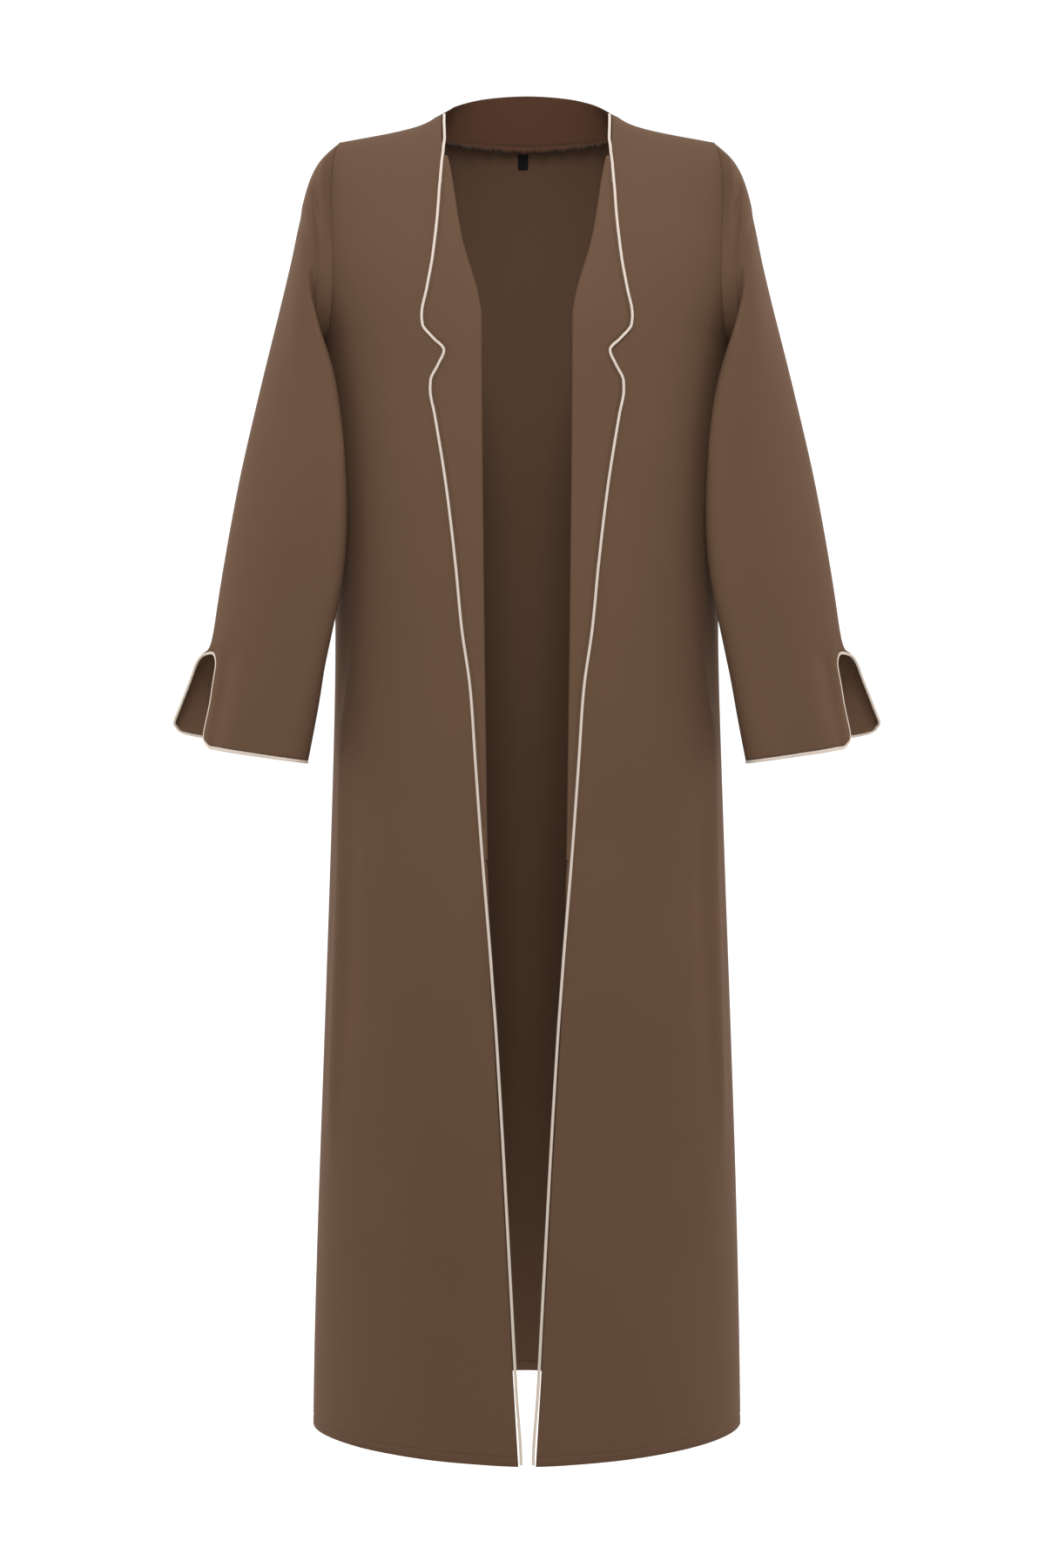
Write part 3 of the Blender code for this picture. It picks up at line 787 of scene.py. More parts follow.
def round_corner(shell: bmesh.types.BMesh, loop: list[bmesh.types.BMVert], spot: Vector,
                 radius: float) -> None:
    """Round off a corner of a rim as the front sees it, and draw the cloth beside it along.

    Args:
        shell: the fine shell.
        loop: its rim.
        spot: where the corner is.
        radius: how round it becomes.
    """
    places = [vert.co.copy() for vert in loop]
    index = min(range(len(places)), key=lambda nth: (places[nth] - spot).length)
    corner = places[index]

    def along(way: int) -> Vector:
        """Direction from the corner to the rim's point a radius further on."""
        step = way
        while level_out(places[(index + step) % len(places)] - corner).length < radius:
            step += way
        return level_out(places[(index + step) % len(places)] - corner).normalized()

    ahead, behind = along(1), along(-1)
    turn = ahead.dot(behind)
    for vert in shell.verts:
        away = vert.co - corner
        if away.length > 2 * radius:
            continue
        near = (away.dot(ahead) - turn * away.dot(behind)) / (1 - turn**2) / radius
        far = (away.dot(behind) - turn * away.dot(ahead)) / (1 - turn**2) / radius
        pull = (max(0, 1 - max(near, 0)) * max(0, 1 - max(far, 0))) ** 2
        vert.co += (ahead + behind) * (CORNER_PULL * radius * pull)


def girth(loop: list[bmesh.types.BMVert]) -> float:
    """Mean distance of a closed row of vertices from its own middle."""
    middle = sum((vert.co for vert in loop), Vector()) / len(loop)
    return sum((vert.co - middle).length for vert in loop) / len(loop)


@dataclass(frozen=True)
class RimPoint:
    """A point on the rim of a cloth.

    Attributes:
        place: where it is, on the outside.
        cloth: the cloth's normal there.
        edge: the way out past the edge.
    """

    place: Vector
    cloth: Vector
    edge: Vector


@dataclass
class ClothShell:
    """A cut piece of crepe: the frame's solid made smooth, with its folds.

    Attributes:
        node: the frame's node that the piece stands for.
        flat: width and length of the cut; not used.
        area: flat area of the cut; not used.
        rests_on: what holds the cloth.
        levels: how often its quads are divided.
    """

    node: str
    flat: tuple[float, float]
    area: float
    rests_on: tuple[str, ...]
    levels: int = 3

    creases = ()
    # Depths over which the ripples set in, and how far the cloth faces a side with creases.
    calm_down = (0.05, 0.30)
    face_share = (0.05, 0.45)
    # Whether the faces turned towards the middle get the darker copy of the crepe, as painted
    # shade.
    facing = False
    seam_take_up = 0.22 * MM

    def smooth_copy(self) -> bpy.types.Mesh:
        """Copy the solid, join its triangles to quads and divide them smoothly.

        Returns:
            The fine mesh, with crisp rims.
        """
        shell = bmesh.new()
        shell.from_mesh(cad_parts[self.node].data)
        bmesh.ops.remove_doubles(shell, verts=shell.verts, dist=WELD)
        bmesh.ops.join_triangles(shell, faces=shell.faces, angle_face_threshold=QUAD_ANGLE,
                                 angle_shape_threshold=math.pi)
        mark_rims(shell)
        self.prepare(shell)
        crisp = shell.edges.layers.float.new("crease_edge")
        for edge in shell.edges:
            if edge.calc_face_angle(0) > RIM_ANGLE and not self.rounds(edge):
                edge[crisp] = 1.0
        mesh = bpy.data.meshes.new(self.node + "_coarse")
        shell.to_mesh(mesh)
        shell.free()
        draft = add_object(self.node + "_draft", mesh)
        smooth = draft.modifiers.new("Smooth", "SUBSURF")
        smooth.levels = smooth.render_levels = self.levels
        graph = bpy.context.evaluated_depsgraph_get()
        fine = bpy.data.meshes.new_from_object(draft.evaluated_get(graph))
        bpy.data.objects.remove(draft)
        return fine

    def prepare(self, shell: bmesh.types.BMesh) -> None:
        """Change the coarse shell before it is divided; a plain shell stays as it is."""

    def rounds(self, edge: bmesh.types.BMEdge) -> bool:
        """Say whether a sharp edge is rounded off all the same."""
        return False

    def outward(self, points: np.ndarray) -> np.ndarray:
        """Direction in which the cloth bulges: level, away from the body's middle."""
        way = np.stack([points[:, 0] / BODY_HALF_WIDTH**2, points[:, 1] / BODY_HALF_DEPTH**2,
                        np.zeros(len(points))], axis=1)
        return way / np.maximum(np.linalg.norm(way, axis=1, keepdims=True), 1e-6)

    def folds(self, points: np.ndarray, way: np.ndarray) -> np.ndarray:
        """Height of the creases and ripples at each point.

        Args:
            points: the shell's points.
            way: the outward direction at each.

        Returns:
            How far each point moves outwards.
        """
        calm = ease(-points[:, 2], *self.calm_down)
        total = sum(ripple.push(points) for ripple in RIPPLES) * calm
        for crease in self.creases:
            faces_it = ease(way[:, 1] * crease.side.value, *self.face_share)
            total = total + crease.push(np.abs(points[:, 0]), points[:, 2]) * faces_it
        return total

    def shape(self, mesh: bpy.types.Mesh) -> None:
        """Move the fine mesh's points by the folds."""
        points = np.zeros(len(mesh.vertices) * 3, np.float32)
        mesh.vertices.foreach_get("co", points)
        points = points.reshape(-1, 3).astype(float)
        way = self.outward(points)
        moved = self.adjust(points + way * self.folds(points, way)[:, None])
        mesh.vertices.foreach_set("co", moved.astype(np.float32).ravel())
        mesh.update()

    def adjust(self, points: np.ndarray) -> np.ndarray:
        """Change the points last; a plain shell has nothing to change."""
        return points

    def finish_rims(self, mesh: bpy.types.Mesh) -> None:
        """Let every rim out by a hair, so that sewn seams close, and clear the marks."""
        shell = bmesh.new()
        shell.from_mesh(mesh)
        moves = {}
        for vert in shell.verts:
            ways = [face.normal for face in vert.link_faces if face.material_index == RIM_MARK]
            if ways:
                moves[vert] = sum(ways, Vector()).normalized() * self.seam_take_up
        for vert, move in moves.items():
            vert.co += move
        shell.normal_update()
        self.note_rims(shell)
        for face in shell.faces:
            face.material_index = 0
        shell.to_mesh(mesh)
        shell.free()

    def note_rims(self, shell: bmesh.types.BMesh) -> None:
        """Keep what later pieces need of the rims; a plain shell keeps nothing."""

    def build(self) -> bpy.types.Object:
        mesh = self.smooth_copy()
        self.shape(mesh)
        self.finish_rims(mesh)
        piece = dress(self.node + "_cloth", mesh, CREPE)
        # Faces turned towards the middle get the darker copy of the crepe: painted shade, not a
        # second fabric.
        if self.facing:
            mesh.materials.append(CREPE_PAINTED_SHADE.material())
            for polygon in mesh.polygons:
                middle = Vector((polygon.center.x, polygon.center.y, 0))
                polygon.material_index = int(polygon.normal.dot(middle) < 0)
        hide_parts(self.node)
        list(self.rests_on)
        return piece


@dataclass
class Collar(ClothShell):
    """The standing back of the collar, whose side towards the neck gets a darker copy of the crepe
    as painted shade.
    """

    facing = True


@dataclass
class BodyPanel(ClothShell):
    """A front or the back, with a turned hem."""

    creases = (
        Crease(Side.FRONT, ((0.190, 0.035), (0.196, -0.010), (0.199, -0.075)), 5 * MM, 0.5 * MM),
        Crease(Side.FRONT, ((0.186, -0.520), (0.190, -0.556), (0.194, -0.588), (0.197, -0.630)),
               5 * MM, -2.5 * MM),
        Crease(Side.FRONT, ((0.190, -0.560), (0.192, -0.660), (0.194, -0.790), (0.198, -0.910),
                            (0.203, -1.050), (0.205, -1.120)), 6 * MM, 4.5 * MM, 0.25),
        Crease(Side.FRONT, ((0.180, -0.600), (0.182, -0.800), (0.190, -1.050)),
               9 * MM, -2.6 * MM, 0.4),
        Crease(Side.BACK, ((0.110, -0.16), (0.085, -0.24), (0.070, -0.34)),
               22 * MM, -2.0 * MM, 0.5),
        Crease(Side.BACK, ((0.170, -0.22), (0.135, -0.30), (0.120, -0.42)), 20 * MM, 2.0 * MM, 0.5),
    )
    hem_groove = 0.45 * MM
    groove_width = 1.3 * MM

    def smooth_copy(self) -> bpy.types.Mesh:
        """Cut the shell's faces along the hem, so that its stitched groove has an edge."""
        mesh = super().smooth_copy()
        shell = bmesh.new()
        shell.from_mesh(mesh)
        stitch_z = HEM_Z + HEM_DEPTH
        for level in range(-2, 3):
            bmesh.ops.bisect_plane(shell, geom=[*shell.verts, *shell.edges, *shell.faces],
                                   plane_co=(0, 0, stitch_z + level * self.groove_width),
                                   plane_no=(0, 0, 1), dist=WELD)
        shell.to_mesh(mesh)
        shell.free()
        return mesh

    def folds(self, points: np.ndarray, way: np.ndarray) -> np.ndarray:
        """Add the groove of the hem's stitching to the folds."""
        away = (points[:, 2] - HEM_Z - HEM_DEPTH) / self.groove_width
        return super().folds(points, way) - self.hem_groove * np.exp(-(away**2))


@dataclass
class FrontPanel(BodyPanel):
    """A front, whose edge stands back a little inside the fold of its lapel."""

    reach = 24 * MM
    # Heights at which the edge is read, and depths between which it keeps to the fold.
    bin_height = 3 * MM
    span = (-0.82, -0.035)
    edge_starts = (0.036, 0.040)
    edge_ends = (0.74, 0.80)

    def adjust(self, points: np.ndarray) -> np.ndarray:
        """Lay the edge exactly along the fold of the lapel."""
        across, heights = np.abs(points[:, 0]), points[:, 2]
        marks = np.arange(*self.span, self.bin_height)
        edges = []
        for mark in marks:
            gaps = np.abs(heights - mark)
            edges.append(across[gaps < max(self.bin_height, gaps.min() + WELD)].min())
        edge = np.interp(heights, marks, edges)
        along_roll = between(-heights, self.edge_starts, self.edge_ends)
        folds = [read_line(ROLL_LINE, mark) + fold_setback(mark) for mark in marks]
        target = np.interp(heights, marks, folds)
        near = np.clip(1 - (across - edge) / self.reach, 0, 1)
        points[:, 0] += np.sign(points[:, 0]) * (target - edge) * near * along_roll
        return points


@dataclass
class Sleeve(ClothShell):
    """A long sleeve with the drag lines of a raised cap and soft elbow folds.

    Attributes:
        cuff_rim: outer rim of the finished cuff, which carries its piping.
    """

    cuff_rim: list[RimPoint] = field(default_factory=list)

    creases = (
        Crease(Side.FRONT, ((0.2245, -0.060), (0.2222, -0.0753), (0.2177, -0.1016),
                            (0.2123, -0.1268), (0.2069, -0.1475), (0.2014, -0.1656),
                            (0.1970, -0.190)), 4.5 * MM, -7.0 * MM, 0.12),
        Crease(Side.FRONT, ((0.2300, -0.075), (0.2250, -0.1016), (0.2200, -0.1268),
                            (0.2140, -0.1500), (0.2080, -0.172)), 7 * MM, 3.5 * MM, 0.25),
        Crease(Side.FRONT, ((0.2390, -0.082), (0.2349, -0.1007), (0.2304, -0.1231),
                            (0.2249, -0.1530), (0.2204, -0.1774), (0.2132, -0.2090),
                            (0.2104, -0.2352)), 5 * MM, -4.0 * MM, 0.2),
        Crease(Side.FRONT, ((0.2393, -0.1400), (0.2400, -0.2028), (0.2420, -0.2732)),
               9 * MM, 2.5 * MM, 0.4),
        Crease(Side.BACK, ((0.235, -0.07), (0.225, -0.14), (0.222, -0.24)),
               10 * MM, -2.5 * MM, 0.3),
        Crease(Side.BACK, ((0.262, -0.30), (0.250, -0.36), (0.246, -0.46)),
               14 * MM, 2.5 * MM, 0.4),
        Crease(Side.BACK, ((0.285, -0.36), (0.262, -0.42), (0.252, -0.50)),
               12 * MM, -2.0 * MM, 0.4),
    )
    # The slit: how its back edge and top move, and how its front edge, in (z, y), turns out.
    slit_reach = 60 * MM
    slit_back = Vector((8.5, 2.0, 1.5)) * MM
    slit_top = Vector((0.5, 0.0, 4.0)) * MM
    slit_edge = ((-0.553, -0.036), (-0.643, -0.049))
    slit_inward = 8.0 * MM
    slit_inward_ends = (0.020, 0.055)
    slit_eases_low = 0.4
    slit_low = (0.60, 0.65)
    slit_forward = 12.0 * MM
    slit_forward_ends = (0.0, 0.032)
    slit_behind = (-0.006, 0.0)
    slit_depths = (0.535, 0.570)
    slit_outer = (0.27, 0.31)
    # The flap behind the slit: how far it drops, and from where in x and along the rim.
    flap_drop = 7.5 * MM
    flap_start = (0.330, 0.372)
    flap_steps = (4, 6)
    front_steps = 8
    # Where the folds stay away from the seam of the armhole and from the cuff.
    armhole_x = 0.199
    armhole_slant = 0.02
    armhole_depths = (0.02, 0.24)
    seam_reach = (0.002, 0.020)
    below_armhole = (0.26, 0.30)
    cuff_depths = (0.56, 0.60)
    slices = 40
    # How the coarse front corner moves, and which fine corners are rounded: place and radius.
    corner = Vector((-2.0, 0.0, 3.5)) * MM
    corners = (((0.3765, 0.0146, -0.6333), 11 * MM), ((0.3333, -0.0695, -0.6491), 7.5 * MM))

    def note_rims(self, shell: bmesh.types.BMesh) -> None:
        """Round the cuff's corners and keep its outer rim, which carries the piping."""
        cuffs = [loop for loop in rim_loops(shell) if max(vert.co.z for vert in loop) < CUFF_TOP_Z]
        outer = max(cuffs, key=girth)
        hand = math.copysign(1, outer[0].co.x)
        for (x, y, z), radius in self.corners:
            round_corner(shell, outer, Vector((x * hand, y, z)), radius)
        for vert in outer:
            cloth, edge = Vector(), Vector()
            for face in vert.link_faces:
                if face.material_index == RIM_MARK:
                    edge += face.normal * face.calc_area()
                else:
                    cloth += face.normal * face.calc_area()
            self.cuff_rim.append(RimPoint(vert.co.copy(), cloth.normalized(), edge.normalized()))

    def prepare(self, shell: bmesh.types.BMesh) -> None:
        """Open the cuff's slit to a round arch at its top, and let the flap behind it drop."""
        for loop in rim_loops(shell):
            top = max(range(len(loop)), key=lambda index: loop[index].co.z)
            if loop[top].co.z > CUFF_TOP_Z:
                continue
            hand = math.copysign(1, loop[top].co.x)
            apex = loop[top].co.copy()
            flap = loop[top:] + loop[:top]
            if flap[2].co.y < flap[-2].co.y:
                flap = [flap[0], *flap[:0:-1]]
            front_corner = max(flap[-self.front_steps:],
                               key=lambda vert: vert.co.x * hand - vert.co.z)
            half = len(flap) // 2
            for step, vert in enumerate(flap):
                fall = (vert.co - apex).length
                if step == 0:
                    move = self.slit_top
                elif step < half:
                    move = self.slit_back * (1 - ease(fall, 0, self.slit_reach))
                    move.z -= (self.flap_drop * ease(abs(vert.co.x), *self.flap_start)
                               * ease(step, *self.flap_steps))
                else:
                    move = self.corner if vert is front_corner else Vector()
                vert.co += Vector((move.x * hand, move.y, move.z))

    def adjust(self, points: np.ndarray) -> np.ndarray:
        """Turn the front edge of the cuff's slit forwards, so that it faces the front."""
        across, heights = np.abs(points[:, 0]), points[:, 2]
        (high, high_y), (low, low_y) = self.slit_edge
        before = np.interp(-heights, (-high, -low), (high_y, low_y)) - points[:, 1]
        here = (ease(before, *self.slit_behind) * ease(-heights, *self.slit_depths)
                * ease(across, *self.slit_outer))
        inward = (self.slit_inward * (1 - ease(before, *self.slit_inward_ends))
                  * (1 - self.slit_eases_low * ease(-heights, *self.slit_low)))
        points[:, 0] -= np.sign(points[:, 0]) * inward * here
        points[:, 1] -= self.slit_forward * (1 - ease(before, *self.slit_forward_ends)) * here
        return points

    def rounds(self, edge: bmesh.types.BMEdge) -> bool:
        """Round off the edges that cross the rim, so that the slit's top is an arch."""
        return all(face.material_index == RIM_MARK for face in edge.link_faces)

    def outward(self, points: np.ndarray) -> np.ndarray:
        """Direction level and away from the sleeve's own middle at each height."""
        order = np.argsort(points[:, 2])
        slices = np.array_split(order, self.slices)
        heights = [points[part, 2].mean() for part in slices]
        middles = np.array([(points[part].min(0) + points[part].max(0)) / 2 for part in slices])
        away = np.zeros(points.shape)
        for axis in (0, 1):
            away[:, axis] = points[:, axis] - np.interp(points[:, 2], heights, middles[:, axis])
        return away / np.maximum(np.linalg.norm(away, axis=1, keepdims=True), 1e-6)

    def folds(self, points: np.ndarray, way: np.ndarray) -> np.ndarray:
        """Keep the seam of the armhole and the cuff where they are."""
        depths = -points[:, 2]
        seam = (np.abs(points[:, 0]) - self.armhole_x
                - self.armhole_slant * ease(depths, *self.armhole_depths))
        free = np.maximum(ease(seam, *self.seam_reach), ease(depths, *self.below_armhole))
        return super().folds(points, way) * free * (1 - ease(depths, *self.cuff_depths))


# ---------------------------------------------------------------- lapels and piping


@dataclass
class Lapel:
    """The front edge folded back: lapel, round fold and facing in one piece of cloth.

    Attributes:
        hand: the half it belongs to.
        front: outside of that half's front, on which it lies.
    """

    hand: Hand
    front: FrontSkin
    top_z: float = -0.0370
    end_z: float = -0.7636
    row_step: float = 5 * MM
    columns: int = 12
    fold_columns: int = 6
    facing_columns: int = 3
    facing: float = 20 * MM
    cloth: float = 1.1 * MM
    air: float = 0.55 * MM
    piping_room: float = 1.95 * MM
    least_width: float = 0.8 * MM
    puff: float = 0.7 * MM
    puffs_at: tuple[float, float] = (0.004, 0.020)
    stitch_inset: float = 2.3 * MM
    stitch_rise: float = 0.62
    stitch_step: float = 2 * MM
    stitch_ends: tuple[float, float] = (12 * MM, 30 * MM)

    def section(self, z: float) -> list[Vector]:
        """Midline of the cloth at one height, from the piping round the fold to the facing.

        Args:
            z: the height.

        Returns:
            The section's points on the left half.
        """
        roll = read_line(ROLL_LINE, z) + fold_setback(z)
        rim = max(beside_piping(z, self.piping_room), roll + self.least_width)
        raised = self.air + self.cloth / 2
        points = []
        for column in range(self.columns):
            share = column / self.columns
            x = rim + (roll - rim) * share
            point, normal = self.front.at(x, z)
            soft = math.sqrt(math.sin(math.pi * share)) * ease(rim - roll, *self.puffs_at)
            points.append(point + normal * (raised + self.puff * soft))
        edge, normal = self.front.at(roll, z)
        inward = normal.cross(Vector((0, 0, 1))).normalized()
        if inward.x > 0:
            inward = -inward
        centre = edge - normal * (WALL / 2)
        radius = WALL / 2 + raised
        for step in range(self.fold_columns + 1):
            angle = math.pi * step / self.fold_columns
            points.append(centre + normal * radius * math.cos(angle)
                          + inward * radius * math.sin(angle))
        for step in range(1, self.facing_columns + 1):
            point, normal = self.front.at(roll + self.facing * step / self.facing_columns, z)
            points.append(point - normal * (WALL + raised))
        return points

    def build(self) -> bpy.types.Object:
        rows = round((self.top_z - self.end_z) / self.row_step)
        sections = [self.section(self.top_z + (self.end_z - self.top_z) * row / rows)
                    for row in range(rows + 1)]
        sheet = lay_grid(len(sections[0]) - 1, rows,
                         lambda column, row: mirrored(sections[row][column], self.hand))
        give_body(sheet, self.cloth)
        name = f"lapel_{self.hand.word}"
        piece = make_piece(name + "_cloth", sheet, CREPE)
        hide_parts(name)
        self.build_understitch()
        return piece

    def build_understitch(self) -> None:
        """Sew the row that holds the seam allowance down beside the piping."""
        inset = self.piping_room + self.stitch_inset
        lift = self.air + self.cloth + self.puff * self.stitch_rise
        first, last = self.top_z - self.stitch_ends[0], self.end_z + self.stitch_ends[1]
        points, normals = self.front.trace([(beside_piping(z, inset), z, lift)
                                            for z in np.arange(first, last, -self.stitch_step)])
        StitchRow().sew(f"understitch_{self.hand.word}", points, normals, THREAD)


@dataclass
class Piping:
    """Bias strip over a filler cord, sewn along a route on one half.

    Attributes:
        hand: the half it belongs to.
    """

    hand: Hand

    stem = "piping"
    half_width = 1.5 * MM
    half_height = 1.3 * MM

    def route(self) -> tuple[list[Vector], list[Vector]]:
        """Centres of the cord, and the normals of the cloth under them."""
        raise NotImplementedError

    def build(self) -> bpy.types.Object:
        """Sweep the cord and hide the solid that it stands for."""
        name = f"{self.stem}_{self.hand.word}"
        shape = sweep(*self.route(), self.half_width, self.half_height)
        piece = make_piece(name + "_cord", shape, PIPING)
        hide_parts(name)
        return piece


@dataclass
class FrontPiping(Piping):
    """Cord from the collar's corner, over the front beside the lapel, to the hem."""

    front: FrontSkin

    step = 3 * MM
    air = 0.3 * MM
    rise_out = (-0.014, -0.026)
    rise_in = (-0.880, -0.940)

    def route(self) -> tuple[list[Vector], list[Vector]]:
        """Follow the piping line down the front."""
        top, bottom = PIPING_LINE[0][0], PIPING_LINE[-1][0]
        count = round((top - bottom) / self.step)
        spots = []
        for z in np.linspace(top, bottom, count + 1):
            over = between(z, self.rise_out, self.rise_in)
            lift = -WALL / 2 + (self.half_height + self.air + WALL / 2) * over
            spots.append((read_line(PIPING_LINE, z), z, lift))
        return self.front.trace(spots)


@dataclass
class CuffPiping(Piping):
    """Cord along the whole rim of the cuff, up and down both edges of its slit."""

    rim: list[RimPoint]

    stem = "cuff_piping"
    half_width = 1.7 * MM
    half_height = 1.4 * MM
    seat = 0.15 * MM
    step = 1.6 * MM
    rounds = 3

    def route(self) -> tuple[list[Vector], list[Vector]]:
        """Follow the rim of the cuff once round."""
        path = [point.place - point.cloth * (WALL / 2) + point.edge * (self.half_width + self.seat)
                for point in self.rim]
        path, normals = self.evened(path, [point.cloth for point in self.rim])
        return [*path, path[0]], [*normals, normals[0]]

    def evened(self, path: list[Vector],
               normals: list[Vector]) -> tuple[list[Vector], list[Vector]]:
        """Space a closed path's points evenly and soften its corners.

        Args:
            path: the points.
            normals: a normal at each.

        Returns:
            The new points and normals.
        """
        spots = resample([*path, path[0]], [*normals, normals[0]], self.step)
        points = [spot[0] for spot in spots]
        ways = [spot[2] for spot in spots]
        count = len(points)
        for _ in range(self.rounds):
            points = [(points[i - 1] + points[i] * 2 + points[(i + 1) % count]) / 4
                      for i in range(count)]
            ways = [(ways[i - 1] + ways[i] * 2 + ways[(i + 1) % count]).normalized()
                    for i in range(count)]
        return points, ways


# ---------------------------------------------------------------- neck, tag and hem


@dataclass
class NeckSeam:
    """Overlocked seam allowance that hangs inside the back of the neck, and its stitching.

    Attributes:
        collar: the collar's shell.
        back: the back's shell.
    """

    collar: BVHTree
    back: BVHTree
    half_width: float = 0.088
    samples: int = 112
    rows: int = 3
    search: float = 30 * MM
    search_from_y: float = -20 * MM
    halvings: int = 14
    sideways: float = 0.6
    forwards: float = 70 * MM
    drop: float = 6.6 * MM
    drop_eases: float = 0.35
    clearance: float = 0.4 * MM
    stand_off: float = 2.4 * MM
    end_stand_off: float = 2.4 * MM
    cloth: float = 0.9 * MM
    frill: float = 1.7 * MM
    waves: tuple[tuple[float, float], ...] = ((1.31, 0), (0.47, 1), (2.27, 2))
    frill_out: float = 0.5
    frill_down: float = 0.7
    zigzag_step: float = 1.6 * MM
    zigzag_lift: float = 0.6
    zigzag_levels: tuple[float, float] = (-0.9 * MM, 2.4 * MM)
    top_lift: float = 0.9 * MM
    top_rise: float = 2.2 * MM

    def seam_point(self, x: float) -> Vector:
        """Find the neck seam on the inside, where the collar gives way to the back."""
        high, low = self.search, -self.search
        for _ in range(self.halvings):
            z = (high + low) / 2
            start = Vector((x, self.search_from_y, z))
            collar = self.collar.ray_cast(start, BACKWARDS)[0]
            back = self.back.ray_cast(start, BACKWARDS)[0]
            if collar is not None and (back is None or collar.y < back.y):
                high = z
            else:
                low = z
        point = self.back.ray_cast(Vector((x, self.search_from_y, low - MM)), BACKWARDS)[0]
        return Vector((x, point.y, low))

    def inward(self, points: list[Vector]) -> list[Vector]:
        """Level direction from each point towards the open neck."""
        return [Vector((-point.x * self.sideways, -self.forwards, 0)).normalized()
                for point in points]

    def build(self) -> None:
        """Make the allowance, its overlocking and the stitch row of the seam."""
        seam = [self.seam_point(self.half_width * (2 * i / self.samples - 1))
                for i in range(self.samples + 1)]
        inward = self.inward(seam)

        def place(column: int, row: int) -> Vector:
            """Point of the allowance: the seam above, the frilled edge below."""
            share = row / self.rows
            end = (2 * column / self.samples - 1) ** 2
            wave = sum(math.sin(column * rate + shift) for rate, shift in self.waves)
            frill = self.frill * wave / 2 * share
            out = (self.stand_off + self.end_stand_off * end) * share + frill * self.frill_out
            down = self.drop * (1 - self.drop_eases * end) * share + frill * self.frill_down
            aside = inward[column] * (self.clearance + out)
            return seam[column] + aside - Vector((0, 0, down))

        sheet = lay_grid(self.samples, self.rows, place)
        give_body(sheet, self.cloth)
        # The allowance gets the darker copy of the crepe, as painted shade under the collar.
        allowance = make_piece("neck_allowance", sheet, CREPE_PAINTED_SHADE)
        edge = [place(column, self.rows) for column in range(self.samples + 1)]
        spots = resample(edge, inward, self.zigzag_step)
        zigzag = [point + normal * self.cloth * self.zigzag_lift
                  + Vector((0, 0, self.zigzag_levels[index % 2]))
                  for index, (point, _, normal) in enumerate(spots)]
        # The near-black overlock thread also serves as painted shade under the allowance's ragged
        # edge and along the seam's stitch row.
        overlock = StitchRow(pitch=2.1 * MM, length=4.2 * MM, thread=0.45 * MM)
        overlock.sew("neck_overlock", zigzag, self.inward(zigzag), OVERLOCK_THREAD_AND_SHADE)
        top = [point + normal * self.top_lift + Vector((0, 0, self.top_rise))
               for point, normal in zip(seam, inward)]
        StitchRow().sew("neck_stitching", top, inward, OVERLOCK_THREAD_AND_SHADE)


@dataclass
class SizeTag:
    """Small bare ribbon folded in half, sewn in at the neck."""

    node: str = "size_tag"
    levels: int = 2
    flat: tuple[float, float] = (0.011, 0.015)
    area: float = 0.00016

    def build(self) -> bpy.types.Object:
        """Smooth the solid tag and dress it as ribbon."""
        shell = ClothShell(self.node, self.flat, self.area, (), self.levels)
        piece = dress("size_ribbon", shell.smooth_copy(), RibbonFinish())
        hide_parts(self.node)
        return piece


@dataclass
class HemStitching:
    """Row of stitches that holds the turned hem, seen outside and inside.

    Attributes:
        name: name of the piece.
        panel: shell of the panel it is sewn into.
        angles: where it starts and ends, in degrees round the hem from the front.
        inside: whether it shows on the inside.
    """

    name: str
    panel: BVHTree
    angles: tuple[float, float]
    inside: bool = False
    samples: int = 160
    pitch: float = 3.2 * MM
    outside_reach: float = 0.5

    def build(self) -> bpy.types.Object:
        """Find the panel round the hem and sew along it."""
        points, normals = [], []
        first, last = self.angles
        middle = Vector((0, 0, HEM_Z + HEM_DEPTH))
        for index in range(self.samples + 1):
            angle = math.radians(first + (last - first) * index / self.samples)
            way = Vector((math.sin(angle), -math.cos(angle), 0))
            start = middle if self.inside else middle + way * self.outside_reach
            aim = way if self.inside else -way
            point, normal, _, _ = self.panel.ray_cast(start, aim)
            if point is None:
                continue
            points.append(point)
            normals.append(normal if normal.dot(aim) < 0 else -normal)
        return StitchRow(pitch=self.pitch).sew(self.name, points, normals, THREAD)


# ---------------------------------------------------------------- studio


@dataclass(frozen=True)
class SoftBox:
    """A soft rectangular light that looks at the cloak."""

    name: str
    place: tuple[float, float, float]
    aim: tuple[float, float, float]
    width: float
    height: float
    watts: float
    tint: str = "ffffff"
    spread: float = 180

    def build(self) -> None:
        """Add the light."""
        data = bpy.data.lights.new(self.name, "AREA")
        data.shape = "RECTANGLE"
        data.size = self.width
        data.size_y = self.height
        data.energy = self.watts
        data.color = linear(self.tint)[:3]
        data.spread = math.radians(self.spread)
        light = add_object(self.name, data)
        light.location = self.place
        look = Vector(self.aim) - Vector(self.place)
        light.rotation_euler = look.to_track_quat("-Z", "Y").to_euler()


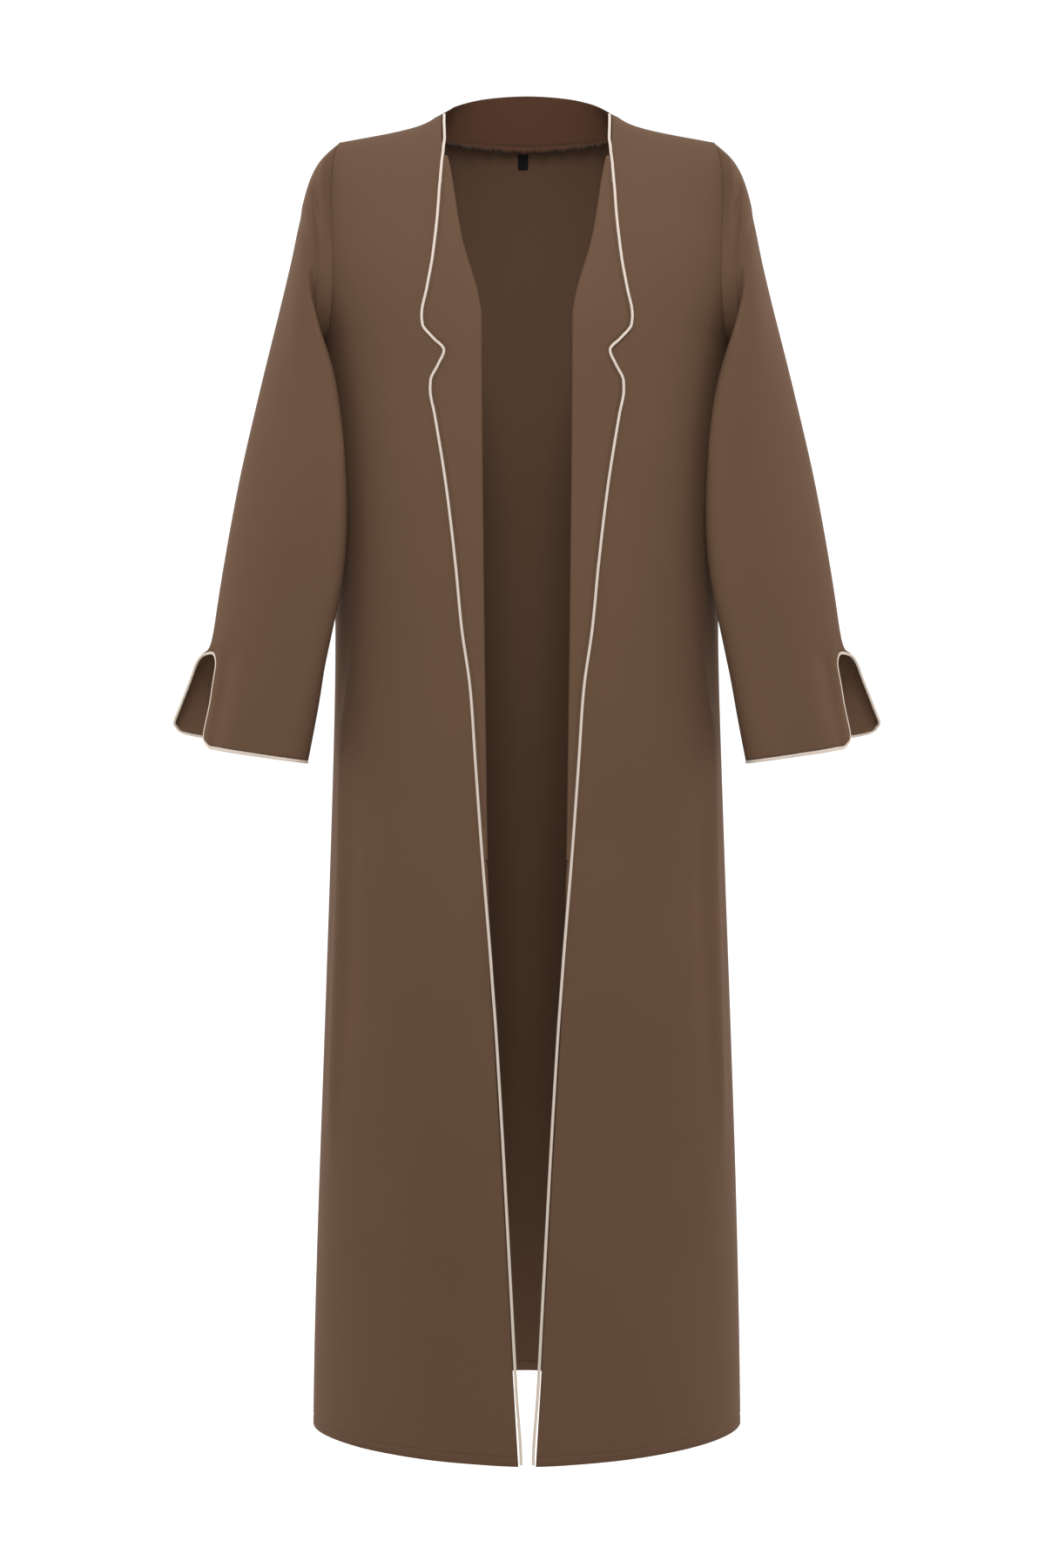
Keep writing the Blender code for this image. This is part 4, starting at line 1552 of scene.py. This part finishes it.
@dataclass(frozen=True)
class Studio:
    """White paper floor, soft light and the camera."""

    floor_z: float = -1.62
    floor_size: float = 14.0
    eye: tuple[float, float, float] = (-0.0046, -3.0, -0.555)
    lens_mm: float = 64.87
    film_mm: float = 36.0
    frame_rise: float = -150 / 1800
    front_ambient: float = 0.52
    back_ambient: float = 1.15
    ambient_depths: tuple[float, float] = (-0.6, 0.6)
    overhead_ambient: float = 0.5
    overhead_heights: tuple[float, float] = (0.35, 0.75)

    def build(self) -> None:
        """Set the floor, lights, world and camera."""
        self.build_floor()
        # name, place, aim, width, height, watts and tint
        for box in (
            SoftBox("key", (0, -2.3, 1.35), (0, 0, 0.0), 0.7, 0.9, 11.5, spread=80),
            SoftBox("fill", (0, -3.1, 0.3), (0, 0, 0.15), 0.7, 1.1, 2.8, spread=80),
            SoftBox("left_rim", (-2.0, 0.7, 0.1), (-0.2, 0, -0.5), 0.6, 2.6, 20, "ffdcb8"),
            SoftBox("right_rim", (2.0, 0.7, 0.1), (0.2, 0, -0.5), 0.6, 2.6, 20, "ffdcb8"),
        ):
            box.build()
        self.build_world()
        self.build_camera()

    def build_world(self) -> None:
        """Light the cloak from all round, more from behind and above."""
        world = bpy.data.worlds.new("studio")
        world.use_nodes = True
        tree = world.node_tree
        around = add_node(tree, "ShaderNodeSeparateXYZ",
                          {"Vector": add_node(tree, "ShaderNodeTexCoord").outputs["Generated"]})
        depth = add_node(tree, "ShaderNodeMapRange", {"Value": around.outputs["Y"]})
        height = add_node(tree, "ShaderNodeMapRange", {"Value": around.outputs["Z"]})
        for node, ends, levels in (
            (depth, self.ambient_depths, (self.front_ambient, self.back_ambient)),
            (height, self.overhead_heights, (0, self.overhead_ambient)),
        ):
            node.inputs["From Min"].default_value, node.inputs["From Max"].default_value = ends
            node.inputs["To Min"].default_value, node.inputs["To Max"].default_value = levels
        strength = add_node(tree, "ShaderNodeMath", operation="ADD")
        tree.links.new(depth.outputs["Result"], strength.inputs[0])
        tree.links.new(height.outputs["Result"], strength.inputs[1])
        background = tree.nodes["Background"]
        background.inputs["Color"].default_value = (1, 1, 1, 1)
        tree.links.new(strength.outputs["Value"], background.inputs["Strength"])
        bpy.context.scene.world = world
        bpy.context.scene.view_settings.view_transform = "Standard"

    def build_floor(self) -> None:
        """Lay the paper floor."""
        floor = bmesh.new()
        bmesh.ops.create_grid(floor, x_segments=4, y_segments=4, size=self.floor_size / 2,
                              matrix=Matrix.Translation((0, 0, self.floor_z)))
        mesh = bpy.data.meshes.new("paper_floor")
        floor.to_mesh(mesh)
        floor.free()
        mesh.materials.append(PaperFinish().material())
        add_object("paper_floor", mesh)

    def build_camera(self) -> None:
        """Place the camera level with the waist and make it the scene's."""
        data = bpy.data.cameras.new("eye")
        data.lens = self.lens_mm
        data.sensor_width = self.film_mm
        data.shift_y = self.frame_rise
        camera = add_object("eye", data)
        camera.location = self.eye
        camera.rotation_euler = (math.pi / 2, 0, 0)
        bpy.context.scene.camera = camera


# ---------------------------------------------------------------- assembly


def build_half(hand: Hand) -> None:
    """Build one half of the cloak's fronts, lapels, piping and sleeves.

    Args:
        hand: which half.
    """
    word = hand.word
    # The piping keeps to the solid front, and the lapel lies on the finished one.
    solid = FrontSkin(hand, tree_of(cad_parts[f"front_{word}"].data))
    front = FrontPanel(f"front_{word}", flat=(0.36, 1.42), area=0.325, rests_on=("back",)).build()
    outside = tree_of(front.data)
    skin = FrontSkin(hand, outside)
    sleeve = Sleeve(f"sleeve_{word}", flat=(0.44, 0.68), area=0.20,
                    rests_on=(f"front_{word}", "back"))
    sleeve.build()
    Lapel(hand, skin).build()
    FrontPiping(hand, solid).build()
    CuffPiping(hand, sleeve.cuff_rim).build()
    near, far = (2, 88) if hand is Hand.LEFT else (-2, -88)
    HemStitching(f"hem_stitching_{word}", outside, (near, far)).build()


def main() -> None:
    """Build the cloak piece by piece, then the studio."""
    logging.basicConfig(level=logging.INFO, format="%(name)s: %(message)s")
    back = BodyPanel("back", flat=(0.62, 1.42), area=0.79, rests_on=("collar_back",)).build()
    collar = Collar("collar_back", flat=(0.26, 0.06), area=0.012, rests_on=("back",)).build()
    for hand in Hand:
        build_half(hand)
    back_tree = tree_of(back.data)
    NeckSeam(tree_of(collar.data), back_tree).build()
    SizeTag().build()
    HemStitching("hem_stitching_back", back_tree, (92, 268)).build()
    HemStitching("hem_stitching_inside", back_tree, (95, 265), inside=True).build()
    Studio().build()


if __name__ == "__main__":
    main()
